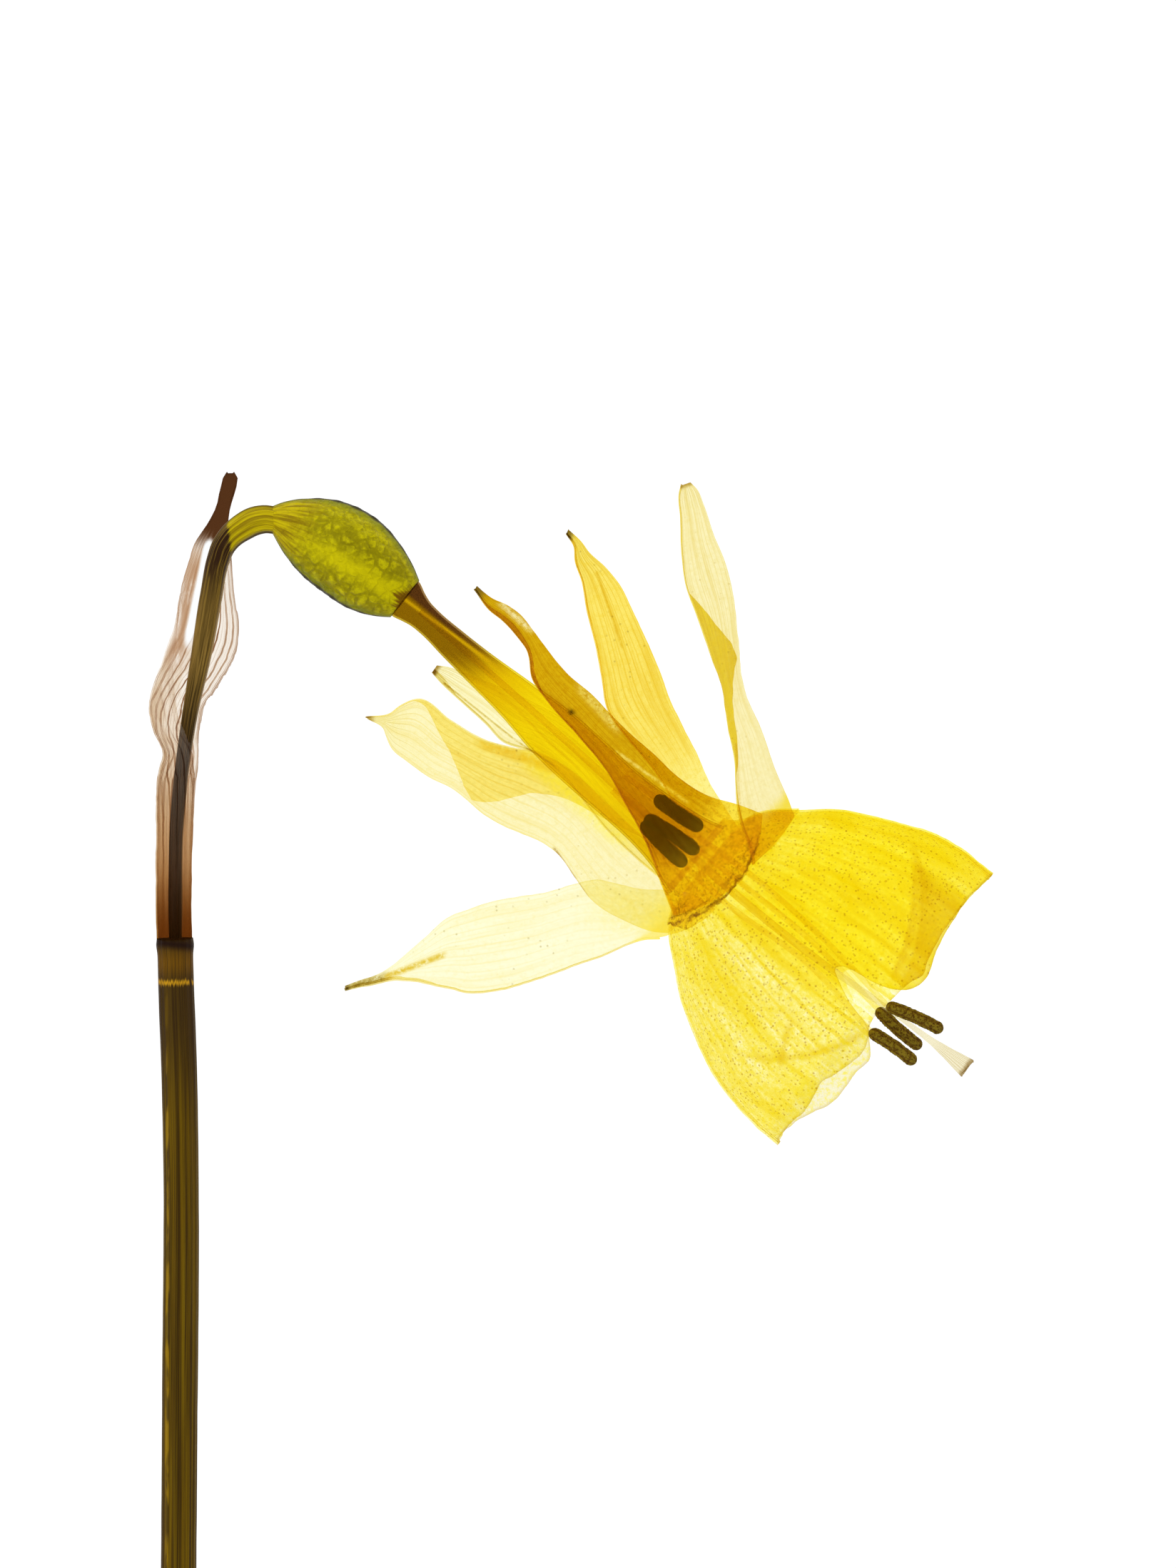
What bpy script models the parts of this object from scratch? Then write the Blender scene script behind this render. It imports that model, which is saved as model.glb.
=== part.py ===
"""Cut daffodil flower with one nodding, narrow-tubed bloom, laid down on a flat surface.

The flower lies on the plane z = 0. Its stem runs along Y from a plain cut at the -Y end to the
dry papery spathe, out of which the flower stalk bends over to the bloom. The bloom lies on its
side: ovary, tube and corona follow one line towards +X -Y, and the six petals sweep back from
the ring where the tube opens into the corona. Sizes are in millimetres and are turned into
metres where a mesh or curve is made.
"""
import bmesh
import bpy
import numpy as np

MM = 0.001
BLADE = 0.6                      # thickness of every petal, of the corona and of the spathe
TAU = 2.0 * np.pi

# The ring: the joint of tube, petals and corona. Its axis is level and points to the mouth.
RING = np.array((13.2, 16.2, 9.75))
AXIS = np.array((0.775, -0.632, 0.0))
SIDE = np.array((0.632, 0.775, 0.0))
UP = np.array((0.0, 0.0, 1.0))
FLATNESS = 0.68                  # the lying bloom is pressed to an oval, this much as deep as wide

# Stem, from the cut end to the node under the spathe.
STEM_PATH = [(-33.2, -50.5, 1.5), (-33.05, -30.0, 1.5), (-32.95, -8.0, 1.5), (-33.1, 0.0, 1.55),
             (-33.35, 7.0, 1.6), (-33.4, 9.6, 1.65), (-33.45, 10.2, 1.65), (-33.45, 10.7, 1.65)]
STEM_RADII = [1.5, 1.5, 1.5, 1.5, 1.5, 1.5, 1.58, 1.5]

# Flower stalk inside the spathe, with its neck at the ovary.
PEDICEL_PATH = [(-33.4, 11.0, 1.75), (-33.4, 16.0, 1.9), (-33.35, 21.0, 2.1), (-33.05, 26.0, 2.4),
                (-32.35, 31.0, 2.9), (-31.2, 36.0, 3.7), (-30.3, 40.0, 4.7), (-29.5, 43.0, 5.7),
                (-28.5, 44.9, 6.4), (-27.1, 46.1, 6.9), (-25.45, 46.4, 7.1)]
PEDICEL_RADII = [0.5, 0.5, 0.5, 0.5, 0.5, 0.55, 0.6, 0.65, 0.85, 0.95, 1.1]

# Spathe: sections from its foot to the tip of its tail. Each gives its place along Y, the left
# and right border seen from above, the height of its middle, its half depth, and the angle
# round it, in degrees, where the upper wall ends: 0 is the right border, 180 the left one.
SPATHE_SECTIONS = [(11.0, -34.8, -32.1, 1.75, 1.4, 25), (16.0, -34.8, -32.0, 1.85, 1.5, 25),
                   (22.0, -34.75, -31.8, 2.1, 1.75, 25), (26.0, -34.6, -31.5, 2.4, 2.05, 25),
                   (30.0, -35.3, -30.8, 2.7, 2.35, 28), (35.0, -34.2, -28.3, 3.2, 2.5, 60),
                   (40.0, -32.8, -28.2, 4.0, 2.2, 115), (43.5, -31.7, -28.5, 4.3, 1.4, 185),
                   (45.0, -30.9, -28.7, 4.3, 0.6, 205), (46.5, -30.0, -28.9, 4.2, 0.1, 205),
                   (48.0, -29.5, -28.4, 4.2, 0.05, 205), (50.5, -28.6, -27.7, 4.2, 0.05, 205)]
SPATHE_FAR_EDGE = np.radians(340.0)  # where the lower wall ends

# Ovary: a plump three-sided capsule on a slightly arched axis, with a flat face at both ends.
OVARY_PATH = [(-24.7, 46.35, 7.1), (-22.6, 45.9, 7.3), (-20.6, 44.8, 7.6), (-18.5, 43.2, 7.8),
              (-15.3, 40.9, 8.1), (-13.75, 39.8, 8.2)]
OVARY_RADII = [1.1, 2.2, 3.0, 3.6, 3.8, 3.6, 2.9, 1.9]
OVARY_LOBE = 0.04                # how far the three seed chambers swell, as a share of the radius

# Tube: slender at the ovary, widening to the ring.
TUBE_START = np.array((-13.35, 39.45, 8.2))
TUBE_END = -2.2                  # place along the axis, just behind the ring
TUBE_RADII = [1.55, 1.5, 1.55, 1.75, 2.05, 2.3, 2.6, 3.1, 3.7]

# Corona: half width against distance from the ring, along the outside of the wall.
CORONA_PROFILE = [(-1.85, 3.3), (-1.6, 4.9), (-1.0, 6.0), (1.7, 8.5), (5.0, 11.0), (9.0, 12.95),
                  (13.5, 14.1), (17.4, 14.3)]
CORONA_LOBES = 6
CORONA_LOBE = 0.6                # height of the lobes of the rim
LOBE_TURN = np.radians(75.0)     # azimuth of the first lobe
CORONA_NOTCH = 4.2               # depth of the tear in the rim's upper side
NOTCH_WIDTH = np.radians(6.0)    # angle from the tear's middle to where it is a third as deep

# Petals: azimuth round the ring, height of the blade's crown, and the two long edges from the
# ring to the tip. Seen from above, looking from ring to tip, the left edge comes first.
PETAL_SPREAD = 25.0              # half of the angle that a petal's foot takes up on the ring
PETAL_FOOT = ((4.7, -2.6), (6.6, -2.5))  # radius and place along the axis of the foot
PETAL_RIPPLE = 0.22              # height of the waves along the edges
PETAL_WAVES = 5
PETALS = {
    "petal_1": (30.0, 0.5,
                [(14.3, 25.0, 9.2), (13.6, 28.5, 8.2), (12.4, 33.8, 6.4), (10.6, 39.0, 4.6),
                 (9.7, 44.0, 2.8), (9.6, 49.2, 1.3)],
                [(17.0, 22.3, 13.6), (18.4, 22.4, 13.0), (17.2, 25.8, 11.6), (15.4, 30.8, 9.2),
                 (14.3, 35.5, 7.0), (13.9, 40.0, 5.0), (12.4, 45.1, 3.0), (10.6, 49.5, 1.4)]),
    "petal_2": (-30.0, 0.5,
                [(7.8, 24.6, 4.8), (3.5, 30.1, 3.2), (2.6, 35.0, 2.0), (1.4, 39.6, 1.1),
                 (0.6, 43.1, 0.6), (-0.5, 45.5, 0.4)],
                [(12.8, 24.4, 7.6), (10.3, 27.9, 5.6), (8.4, 32.1, 3.8), (5.9, 37.9, 2.0),
                 (3.6, 42.0, 1.0), (1.9, 44.3, 0.6), (0.1, 45.8, 0.4)]),
    "petal_3": (90.0, 0.7,
                [(7.0, 17.4, 14.8), (5.2, 20.4, 15.1), (2.8, 25.3, 15.0), (0.0, 30.4, 14.4),
                 (-3.0, 33.4, 13.6), (-4.6, 36.9, 12.7), (-7.1, 39.6, 12.0)],
                [(14.2, 22.4, 15.0), (12.0, 23.4, 15.1), (8.4, 25.2, 15.2), (3.4, 30.0, 15.0),
                 (-1.6, 35.1, 13.9), (-3.9, 38.1, 12.9), (-6.3, 39.7, 12.1)]),
    "petal_4": (-90.0, 0.5,
                [(3.5, 19.0, 3.6), (-1.5, 24.5, 2.5), (-5.2, 27.6, 1.7), (-9.0, 31.0, 0.9),
                 (-11.3, 33.2, 0.4)],
                [(6.2, 23.4, 3.4), (1.5, 28.3, 2.4), (-3.5, 31.6, 1.5), (-8.0, 33.9, 0.7),
                 (-11.0, 34.2, 0.4)]),
    "petal_5": (-150.0, 0.5,
                [(5.0, 14.8, 7.6), (0.7, 16.2, 6.6), (-2.5, 19.4, 5.5), (-6.5, 21.2, 4.2),
                 (-11.5, 24.5, 2.4), (-15.0, 27.2, 1.0), (-16.6, 29.3, 0.5)],
                [(6.8, 17.8, 5.9), (3.0, 20.7, 5.4), (-1.5, 25.2, 4.4), (-7.0, 27.7, 3.0),
                 (-12.5, 30.9, 1.3), (-15.9, 30.1, 0.6)]),
    "petal_6": (150.0, 0.6,
                [(5.8, 11.2, 9.2), (3.0, 9.7, 8.0), (-2.5, 7.7, 6.4), (-7.5, 6.5, 5.0),
                 (-13.0, 7.3, 3.2), (-18.6, 6.5, 1.1)],
                [(5.0, 15.3, 12.2), (1.0, 15.9, 11.0), (-4.0, 14.7, 9.2), (-9.0, 13.3, 7.0),
                 (-13.5, 9.9, 4.4), (-18.6, 7.4, 1.3)]),
}

# Stamens: along the axis, across it and above it, measured from the ring's centre. The three
# long ones stand out of the corona, the three short ones stay inside the tube.
LONG_ANTHERS = [((17.0, 0.05, 1.3), (22.0, 1.5, 1.5)),
                ((16.8, -0.5, -1.3), (21.8, -0.7, -1.5)),
                ((17.4, -2.3, 0.1), (22.1, -1.9, 0.2))]
SHORT_ANTHERS = [((-8.9, 1.45, 0.0), (-4.2, 1.9, 0.0)),
                 ((-8.6, -0.35, 0.85), (-3.6, -0.3, 1.15)),
                 ((-8.2, -0.45, -0.85), (-3.4, -1.1, -1.05))]
LONG_FOOT = (-4.0, 2.0)          # where a long filament leaves the wall: along, out from the axis
LONG_TURNS = np.radians((60.0, 300.0, 180.0))
SHORT_FOOT = -12.0               # where a short filament leaves the wall, along the axis
ANTHER_RADIUS = 0.55
FILAMENT_RADIUS = 0.27
GAP = 0.3                        # space left between two pieces that meet
STYLE_START = 0.02               # share of the way from the tube's start to the ring
STYLE_PATH = [(-14.0, 0.4, 0.0), (-4.0, 0.2, 0.0), (8.0, 0.2, 0.0), (21.0, 0.35, 0.0),
              (25.7, 0.5, 0.0)]
STYLE_RADII = ((0.0, 0.9, 0.95, 1.0), (0.3, 0.34, 0.5, 0.8))  # share of the length, radius there


def curve_through(points, samples):
    """Points along a smooth curve through the given ones, evenly spaced over its chords."""
    points = np.array(points, dtype=float)
    if points.ndim == 1:
        points = np.column_stack((np.arange(len(points)), points))
        return curve_through(points, samples)[:, 1]
    steps = np.linalg.norm(np.diff(points, axis=0), axis=1)
    knots = np.concatenate(([0.0], np.cumsum(steps)))
    slopes = np.gradient(points, knots, axis=0)
    at = np.linspace(0.0, knots[-1], samples)
    span = np.clip(np.searchsorted(knots, at, side="right") - 1, 0, len(knots) - 2)
    width = (knots[span + 1] - knots[span])[:, None]
    u = (at - knots[span])[:, None] / width
    start = (2 * u**3 - 3 * u**2 + 1) * points[span] + (u**3 - 2 * u**2 + u) * width * slopes[span]
    end = (3 * u**2 - 2 * u**3) * points[span + 1] + (u**3 - u**2) * width * slopes[span + 1]
    return start + end


def from_ring(along, across, above):
    """Place measured from the ring's centre along the bloom's axis, across it and above it."""
    return RING + along * AXIS + across * SIDE + above * UP


def on_ring(azimuth, radius, along):
    """Place on the pressed oval round the bloom's axis; azimuth 0 is across, 90 is on top."""
    angle = np.radians(azimuth)
    return from_ring(along, radius * np.cos(angle), FLATNESS * radius * np.sin(angle))


def material(name, colour, roughness):
    """Principled material with one colour and roughness."""
    made = bpy.data.materials.new(name)
    made.use_nodes = True
    shader = made.node_tree.nodes["Principled BSDF"]
    shader.inputs["Base Color"].default_value = (*colour, 1.0)
    shader.inputs["Roughness"].default_value = roughness
    shader.inputs["Metallic"].default_value = 0.0
    made.diffuse_color = (*colour, 1.0)
    return made


def add_piece(name, data, finish, collection):
    """Object of one mesh or curve, with its material, in the flower's collection."""
    piece = bpy.data.objects.new(name, data)
    data.materials.append(finish)
    collection.objects.link(piece)
    return piece


def sheet(name, surface, columns, rows, finish, collection, offset=0.0):
    """Blade: a grid carried onto surface(v, t), split into triangles and given its thickness."""
    bm = bmesh.new()
    bmesh.ops.create_grid(bm, x_segments=columns, y_segments=rows, size=0.5)
    places = np.array([vert.co[:2] for vert in bm.verts]) + 0.5
    for vert, place in zip(bm.verts, surface(places[:, 0], places[:, 1])):
        vert.co = place * MM
    bmesh.ops.remove_doubles(bm, verts=bm.verts, dist=0.02 * MM)
    bmesh.ops.triangulate(bm, faces=bm.faces)
    mesh = bpy.data.meshes.new(name)
    bm.to_mesh(mesh)
    bm.free()
    mesh.shade_smooth()
    piece = add_piece(name, mesh, finish, collection)
    wall = piece.modifiers.new("wall", "SOLIDIFY")
    wall.thickness = BLADE * MM
    wall.offset = offset
    return piece


def rod(name, path, radii, finish, collection, resolution=2):
    """Solid wire along a path, with its own radius at every point and filled ends."""
    curve = bpy.data.curves.new(name, "CURVE")
    curve.dimensions = "3D"
    curve.bevel_depth = MM
    curve.bevel_resolution = resolution
    curve.use_fill_caps = True
    spline = curve.splines.new("POLY")
    spline.points.add(len(path) - 1)
    for point, place, radius in zip(spline.points, path, radii):
        point.co = (*(np.array(place) * MM), 1.0)
        point.radius = radius
    return add_piece(name, curve, finish, collection)


def capsule(name, path, radii, corners, lobe, sides, finish, collection):
    """Ball drawn out along a path into a lobed body, whose poles become its two flat ends."""
    rows = len(path) + 1
    tangents = np.gradient(path, axis=0)
    tangents /= np.linalg.norm(tangents, axis=1)[:, None]
    across = np.cross(UP, tangents)
    across /= np.linalg.norm(across, axis=1)[:, None]
    above = np.cross(tangents, across)
    bm = bmesh.new()
    bmesh.ops.create_uvsphere(bm, u_segments=sides, v_segments=rows, radius=1.0)
    for vert in bm.verts:
        ring = round(np.arccos(np.clip(-vert.co.z, -1.0, 1.0)) / np.pi * rows)
        at = min(max(ring - 1, 0), len(path) - 1)
        angle = np.arctan2(vert.co.y, vert.co.x)
        pole = ring in (0, rows)
        radius = 0.0 if pole else radii[at] * (1.0 + lobe * np.cos(corners * angle))
        place = path[at] + radius * (np.cos(angle) * across[at] + np.sin(angle) * above[at])
        vert.co = place * MM
    mesh = bpy.data.meshes.new(name)
    bm.to_mesh(mesh)
    bm.free()
    mesh.shade_smooth()
    return add_piece(name, mesh, finish, collection)


def make_stem(collection):
    """Round leafless stem, a little swollen at the node under the spathe."""
    rod("stem", STEM_PATH, STEM_RADII, material("stem", (0.09, 0.07, 0.02), 0.6), collection, 4)


def make_pedicel(collection):
    """Flower stalk, thin inside the spathe and thicker at its bend into the ovary."""
    path = curve_through(PEDICEL_PATH, 16)
    radii = curve_through(PEDICEL_RADII, 16)
    rod("pedicel", path, radii, material("pedicel", (0.28, 0.24, 0.03), 0.5), collection)


def make_spathe(collection):
    """Papery sheath round the stalk, open on its right side and ending in a thin tail."""
    sections = np.array(SPATHE_SECTIONS)
    sections[:, 5] = np.radians(sections[:, 5])
    fine = curve_through(sections, 200)

    def surface(v, t):
        y, left, right, middle, depth, opens = (np.interp(t, np.linspace(0.0, 1.0, 200), column)
                                                for column in fine.T)
        angle = opens + v * (SPATHE_FAR_EDGE - opens)
        x = (left + right) / 2.0 + (right - left) / 2.0 * np.cos(angle)
        return np.column_stack((x, y, middle + depth * np.sin(angle)))
    sheet("spathe", surface, 12, 26, material("spathe", (0.55, 0.42, 0.30), 0.7), collection)


def make_ovary(collection):
    """Inferior ovary with the seeds, between the stalk and the tube."""
    path = curve_through(OVARY_PATH, 11)
    radii = curve_through(OVARY_RADII, 11)
    finish = material("ovary", (0.40, 0.42, 0.03), 0.4)
    capsule("ovary", path, radii, 3, OVARY_LOBE, 16, finish, collection)


def round_axis(centre, radius, angle, flat):
    """Oval of places round a centre line, whose width lies across and whose depth stands up."""
    across = (radius * np.cos(angle))[:, None] * SIDE
    return centre + across + (radius * flat * np.sin(angle))[:, None] * UP


def make_tube(collection):
    """Hollow floral tube from the ovary to the ring."""
    end = from_ring(TUBE_END, 0.0, 0.0)

    def surface(v, t):
        centre = TUBE_START + t[:, None] * (end - TUBE_START)
        radii = curve_through(TUBE_RADII, 100)
        radius = np.interp(t, np.linspace(0.0, 1.0, 100), radii)
        return round_axis(centre, radius, TAU * v, 1.0 - (1.0 - FLATNESS) * t**4)
    finish = material("tube", (0.55, 0.36, 0.02), 0.45)
    sheet("floral_tube", surface, 16, 14, finish, collection, -1.0)


def make_corona(collection):
    """Corona: an open bell with six low lobes on its rim and one torn notch on top."""
    profile = curve_through(CORONA_PROFILE, 200)
    share = np.linspace(0.0, 1.0, 200)

    def surface(v, t):
        angle = TAU * v
        from_notch = (angle - TAU / 4.0) / NOTCH_WIDTH
        rim = CORONA_LOBE * np.cos(CORONA_LOBES * (angle - LOBE_TURN))
        rim -= CORONA_NOTCH * np.exp(-from_notch**2)
        along = np.interp(t, share, profile[:, 0]) + rim * t**4
        radius = np.interp(t, share, profile[:, 1])
        centre = RING + along[:, None] * AXIS
        return round_axis(centre, radius, angle, FLATNESS)
    finish = material("corona", (0.83, 0.66, 0.05), 0.4)
    sheet("corona", surface, 48, 11, finish, collection, -1.0)


def petal_surface(azimuth, crown, left, right):
    """Blade between its two long edges, crowned along the middle and rippled at the edges."""
    rows = 200
    feet = [[on_ring(azimuth + turn, radius, along) for radius, along in PETAL_FOOT]
            for turn in (-PETAL_SPREAD, PETAL_SPREAD)]
    if np.dot(np.array(left[0]) - right[0], feet[0][1] - feet[1][1]) < 0.0:
        feet.reverse()
    edges = [curve_through(foot + [np.array(place) for place in edge], rows)
             for foot, edge in zip(feet, (left, right))]
    run = np.gradient((edges[0] + edges[1]) / 2.0, axis=0)
    normal = np.cross(edges[1] - edges[0], run)
    normal /= np.linalg.norm(normal, axis=1)[:, None]

    def surface(v, t):
        at = t * (rows - 1)
        low, high, out = ([np.interp(at, np.arange(rows), line[:, k]) for k in range(3)]
                          for line in (edges[0], edges[1], normal))
        low, high, out = (np.column_stack(line) for line in (low, high, out))
        lift = crown * 4.0 * v * (1.0 - v) * np.sin(np.pi * t)
        ripple = PETAL_RIPPLE * np.sin(PETAL_WAVES * TAU * t) * np.sin(np.pi * t)
        lift += ripple * (2.0 * v - 1.0)**2
        return low + v[:, None] * (high - low) + lift[:, None] * out
    return surface


def make_petals(collection):
    """Six narrow petals, three of each whorl, swept back from the ring."""
    finish = material("petals", (0.90, 0.80, 0.35), 0.45)
    for name, (azimuth, crown, left, right) in PETALS.items():
        sheet(name, petal_surface(azimuth, crown, left, right), 6, 22, finish, collection)


def make_anther(name, ends, finish, collection):
    """Pollen sac: a thin four-cornered sausage with blunt ends."""
    share = np.linspace(0.0, 1.0, 7)
    base, tip = (from_ring(*end) for end in ends)
    path = base + share[:, None] * (tip - base)
    radii = ANTHER_RADIUS * np.array((0.5, 0.95, 1.0, 0.95, 1.0, 0.9, 0.45))
    capsule(name, path, radii, 4, 0.08, 8, finish, collection)


def make_stamens(collection):
    """Six stamens: three long ones that leave the corona and three short ones in the tube."""
    thread = material("filaments", (0.85, 0.75, 0.30), 0.5)
    pollen = material("anthers", (0.14, 0.09, 0.02), 0.8)
    for count, (base, tip) in enumerate(LONG_ANTHERS):
        turn = LONG_TURNS[count]
        along, out = LONG_FOOT
        foot = (along, out * np.cos(turn), out * FLATNESS * np.sin(turn))
        path = [foot, (4.0, base[1] + 0.25 * foot[1], base[2]), (11.0, base[1], base[2]),
                (base[0] - GAP, base[1], base[2])]
        path = [from_ring(*place) for place in curve_through(path, 7)]
        rod("filament_%d" % (count + 1), path, [FILAMENT_RADIUS] * 7, thread, collection)
        make_anther("anther_%d" % (count + 1), (base, tip), pollen, collection)
    for count, (base, tip) in enumerate(SHORT_ANTHERS):
        foot = (SHORT_FOOT, 0.7 * base[1] + 0.2, 0.85 * base[2])
        path = curve_through([foot, (base[0] - GAP, base[1], base[2])], 3)
        path = [from_ring(*place) for place in path]
        rod("filament_%d" % (count + 4), path, [FILAMENT_RADIUS] * 3, thread, collection)
        make_anther("anther_%d" % (count + 4), (base, tip), pollen, collection)


def make_style(collection):
    """Long style from the ovary through tube and corona, with its flared stigma."""
    start = TUBE_START + STYLE_START * (RING - TUBE_START)
    path = curve_through([start] + [from_ring(*place) for place in STYLE_PATH], 22)
    radii = np.interp(np.linspace(0.0, 1.0, len(path)), *STYLE_RADII)
    rod("style", path, radii, material("style", (0.93, 0.89, 0.70), 0.4), collection)


def main():
    """Clear the scene and build every piece of the flower."""
    for old in list(bpy.data.objects):
        bpy.data.objects.remove(old, do_unlink=True)
    flower = bpy.data.collections.new("daffodil_flower")
    bpy.context.scene.collection.children.link(flower)
    for make in (make_stem, make_spathe, make_pedicel, make_ovary, make_tube, make_corona,
                 make_petals, make_stamens, make_style):
        make(flower)


main()
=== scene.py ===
# %% [markdown]
# # A daffodil on a light table
# This notebook dresses a cut daffodil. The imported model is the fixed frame: it says where every
# part is and how large it is. Each plain part of it is hidden and a finer piece takes its place,
# made from a formula on a grid of points, and finished so that light shines through it.

import bpy
import numpy as np
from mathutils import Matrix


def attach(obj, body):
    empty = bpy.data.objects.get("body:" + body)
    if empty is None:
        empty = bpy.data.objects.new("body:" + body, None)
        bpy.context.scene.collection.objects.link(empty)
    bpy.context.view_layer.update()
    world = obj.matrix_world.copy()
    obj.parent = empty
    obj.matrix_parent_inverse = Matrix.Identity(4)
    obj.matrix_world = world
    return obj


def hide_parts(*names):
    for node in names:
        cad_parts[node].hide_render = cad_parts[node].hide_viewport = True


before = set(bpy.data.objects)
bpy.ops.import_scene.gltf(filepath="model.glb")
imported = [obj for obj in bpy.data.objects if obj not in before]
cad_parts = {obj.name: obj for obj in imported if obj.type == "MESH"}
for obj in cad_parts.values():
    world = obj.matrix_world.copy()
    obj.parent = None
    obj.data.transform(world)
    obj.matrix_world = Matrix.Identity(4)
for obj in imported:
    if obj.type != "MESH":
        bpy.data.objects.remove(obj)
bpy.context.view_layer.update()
scene = bpy.context.scene
MM = 0.001
TAU = 2 * np.pi


def place_object(name, data, location=(0, 0, 0), turn=(0, 0, 0)):
    """Put a mesh, a light or a camera into the scene, turned by degrees."""
    made = bpy.data.objects.new(name, data)
    made.location = location
    made.rotation_euler = np.radians(turn)
    scene.collection.objects.link(made)
    return made


# %% [markdown]
# ## Camera
# The flower lies down, so the camera hangs over it and looks straight down. A long lens from
# half a metre away keeps the outline true, nearly as a drawing would. The width and height that
# it takes in are worked out from the lens and the distance.

# %% Hang the camera over the flower
LENS = 150                                   # focal length in mm
SENSOR = 36                                  # its long side in mm, which stands upright here
VIEW_HEIGHT = 131.8 * MM                     # what the picture takes in, top to bottom
VIEW_MIDDLE = (1.68 * MM, 24.09 * MM)
FLOWER_HEIGHT = 8 * MM                       # level at which the view height is measured

lens = bpy.data.cameras.new("overhead")
lens.lens = LENS
lens.sensor_fit = "VERTICAL"
lens.sensor_height = SENSOR
camera_height = FLOWER_HEIGHT + VIEW_HEIGHT * LENS / SENSOR
camera = place_object("overhead", lens, (*VIEW_MIDDLE, camera_height))
bpy.context.scene.camera = camera
print("camera is", round(camera.location.z, 3), "m up")

# %% [markdown]
# ## Light
# Petals show their veins only when light comes through them. So the floor itself is a softly
# glowing white sheet, and a pale sky with one wide soft box lights what faces up. The view
# transform is set to Standard, because a filmic curve would turn the white sheet grey. Each
# petal is a shell with two faces and many lie over each other, so the rays may pass through
# more see-through faces than Cycles allows by default.

# %% Lay the floor and set the lights
SKY = 0.6                                    # brightness of the pale sky
SHEET = 1.06                                 # brightness of the sheet of light
SHEET_SIZE = 1.5                             # half of its side in metres
SHEET_LEVEL = -0.05 * MM                     # just below the flower
BOX_POWER, BOX_SIZE = 0.9, 0.35              # of the soft box, in watts and metres
FACES_PASSED, BENDS_PASSED = 48, 16          # see-through and translucent faces on one ray


def glow(tree_owner, kind, node_type, strength):
    """Make a world or a material give off an even white light."""
    tree_owner.use_nodes = True
    tree = tree_owner.node_tree
    tree.nodes.clear()
    source = tree.nodes.new(node_type)
    source.inputs["Color"].default_value = (1, 1, 1, 1)
    source.inputs["Strength"].default_value = strength
    output = tree.nodes.new("ShaderNodeOutput" + kind)
    tree.links.new(source.outputs[0], output.inputs["Surface"])


scene.world = bpy.data.worlds.new("pale_room")
glow(scene.world, "World", "ShaderNodeBackground", SKY)

floor_mesh = bpy.data.meshes.new("floor")
corners = [(x * SHEET_SIZE, y * SHEET_SIZE, SHEET_LEVEL)
           for x, y in ((-1, -1), (1, -1), (1, 1), (-1, 1))]
floor_mesh.from_pydata(corners, [], [(0, 1, 2, 3)])
floor_mesh.materials.append(bpy.data.materials.new("sheet_of_light"))
glow(floor_mesh.materials[0], "Material", "ShaderNodeEmission", SHEET)
floor = place_object("floor", floor_mesh)

box_light = bpy.data.lights.new("soft_box", "AREA")
box_light.shape = "DISK"
box_light.size = BOX_SIZE
box_light.energy = BOX_POWER
place_object("soft_box", box_light, (-0.25, 0.25, 0.45), (-33, -28, 0))

scene.view_settings.view_transform = "Standard"
scene.cycles.transparent_max_bounces = FACES_PASSED
scene.cycles.transmission_bounces = BENDS_PASSED
print("floor and lights are in")

# %% [markdown]
# ## From formula to mesh
# Every piece here is a surface: a grid of places worked out at once with numpy. Rows run along
# the piece and columns run across it or round it. The helper below turns such a grid into a
# mesh and gives it a UV map called "place", with 0 to 1 across in U and 0 to 1 along in V, so
# that veins can follow the petal they belong to. A solid joins its last column to the first and
# has caps, a ring only joins them, and a sheet stays open. Sheets and rings get a wall.

# %% Grid to mesh
def grid_mesh(name, places, closed, caps):
    """Quads between neighbouring places; closed joins the last column to the first one."""
    rows, columns = places.shape[:2]
    spans = columns if closed else columns - 1
    row, column = np.meshgrid(np.arange(rows - 1), np.arange(spans), indexing="ij")
    after = (column + 1) % columns
    quads = np.stack((row * columns + column, row * columns + after,
                      (row + 1) * columns + after, (row + 1) * columns + column), axis=-1)
    faces = quads.reshape(-1, 4).tolist()
    across = np.stack((column, column + 1, column + 1, column), axis=-1) / spans
    along = np.stack((row, row, row + 1, row + 1), axis=-1) / (rows - 1)
    uv = np.stack((across, along), axis=-1).reshape(-1, 2)
    if caps:
        first = np.arange(columns)
        faces += [first[::-1].tolist(), (first + (rows - 1) * columns).tolist()]
        turn = first / columns
        start = np.column_stack((turn[::-1], np.zeros(columns)))
        end = np.column_stack((turn, np.ones(columns)))
        uv = np.concatenate((uv, start, end))
    mesh = bpy.data.meshes.new(name)
    mesh.from_pydata((places.reshape(-1, 3) * MM).tolist(), [], faces)
    mesh.uv_layers.new(name="place").uv.foreach_set("vector", uv.astype(np.float32).ravel())
    mesh.shade_smooth()
    return mesh


def volume(places):
    """Signed volume of a closed grid: positive when its faces point outwards."""
    a, b = places[:-1], places[1:]
    c, d = np.roll(a, -1, axis=1), np.roll(b, -1, axis=1)
    middle = places.mean(axis=(0, 1))
    a, b, c, d = a - middle, b - middle, c - middle, d - middle
    return float(np.sum(np.cross(a, c) * d) + np.sum(np.cross(a, d) * b))


pieces = []


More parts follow.
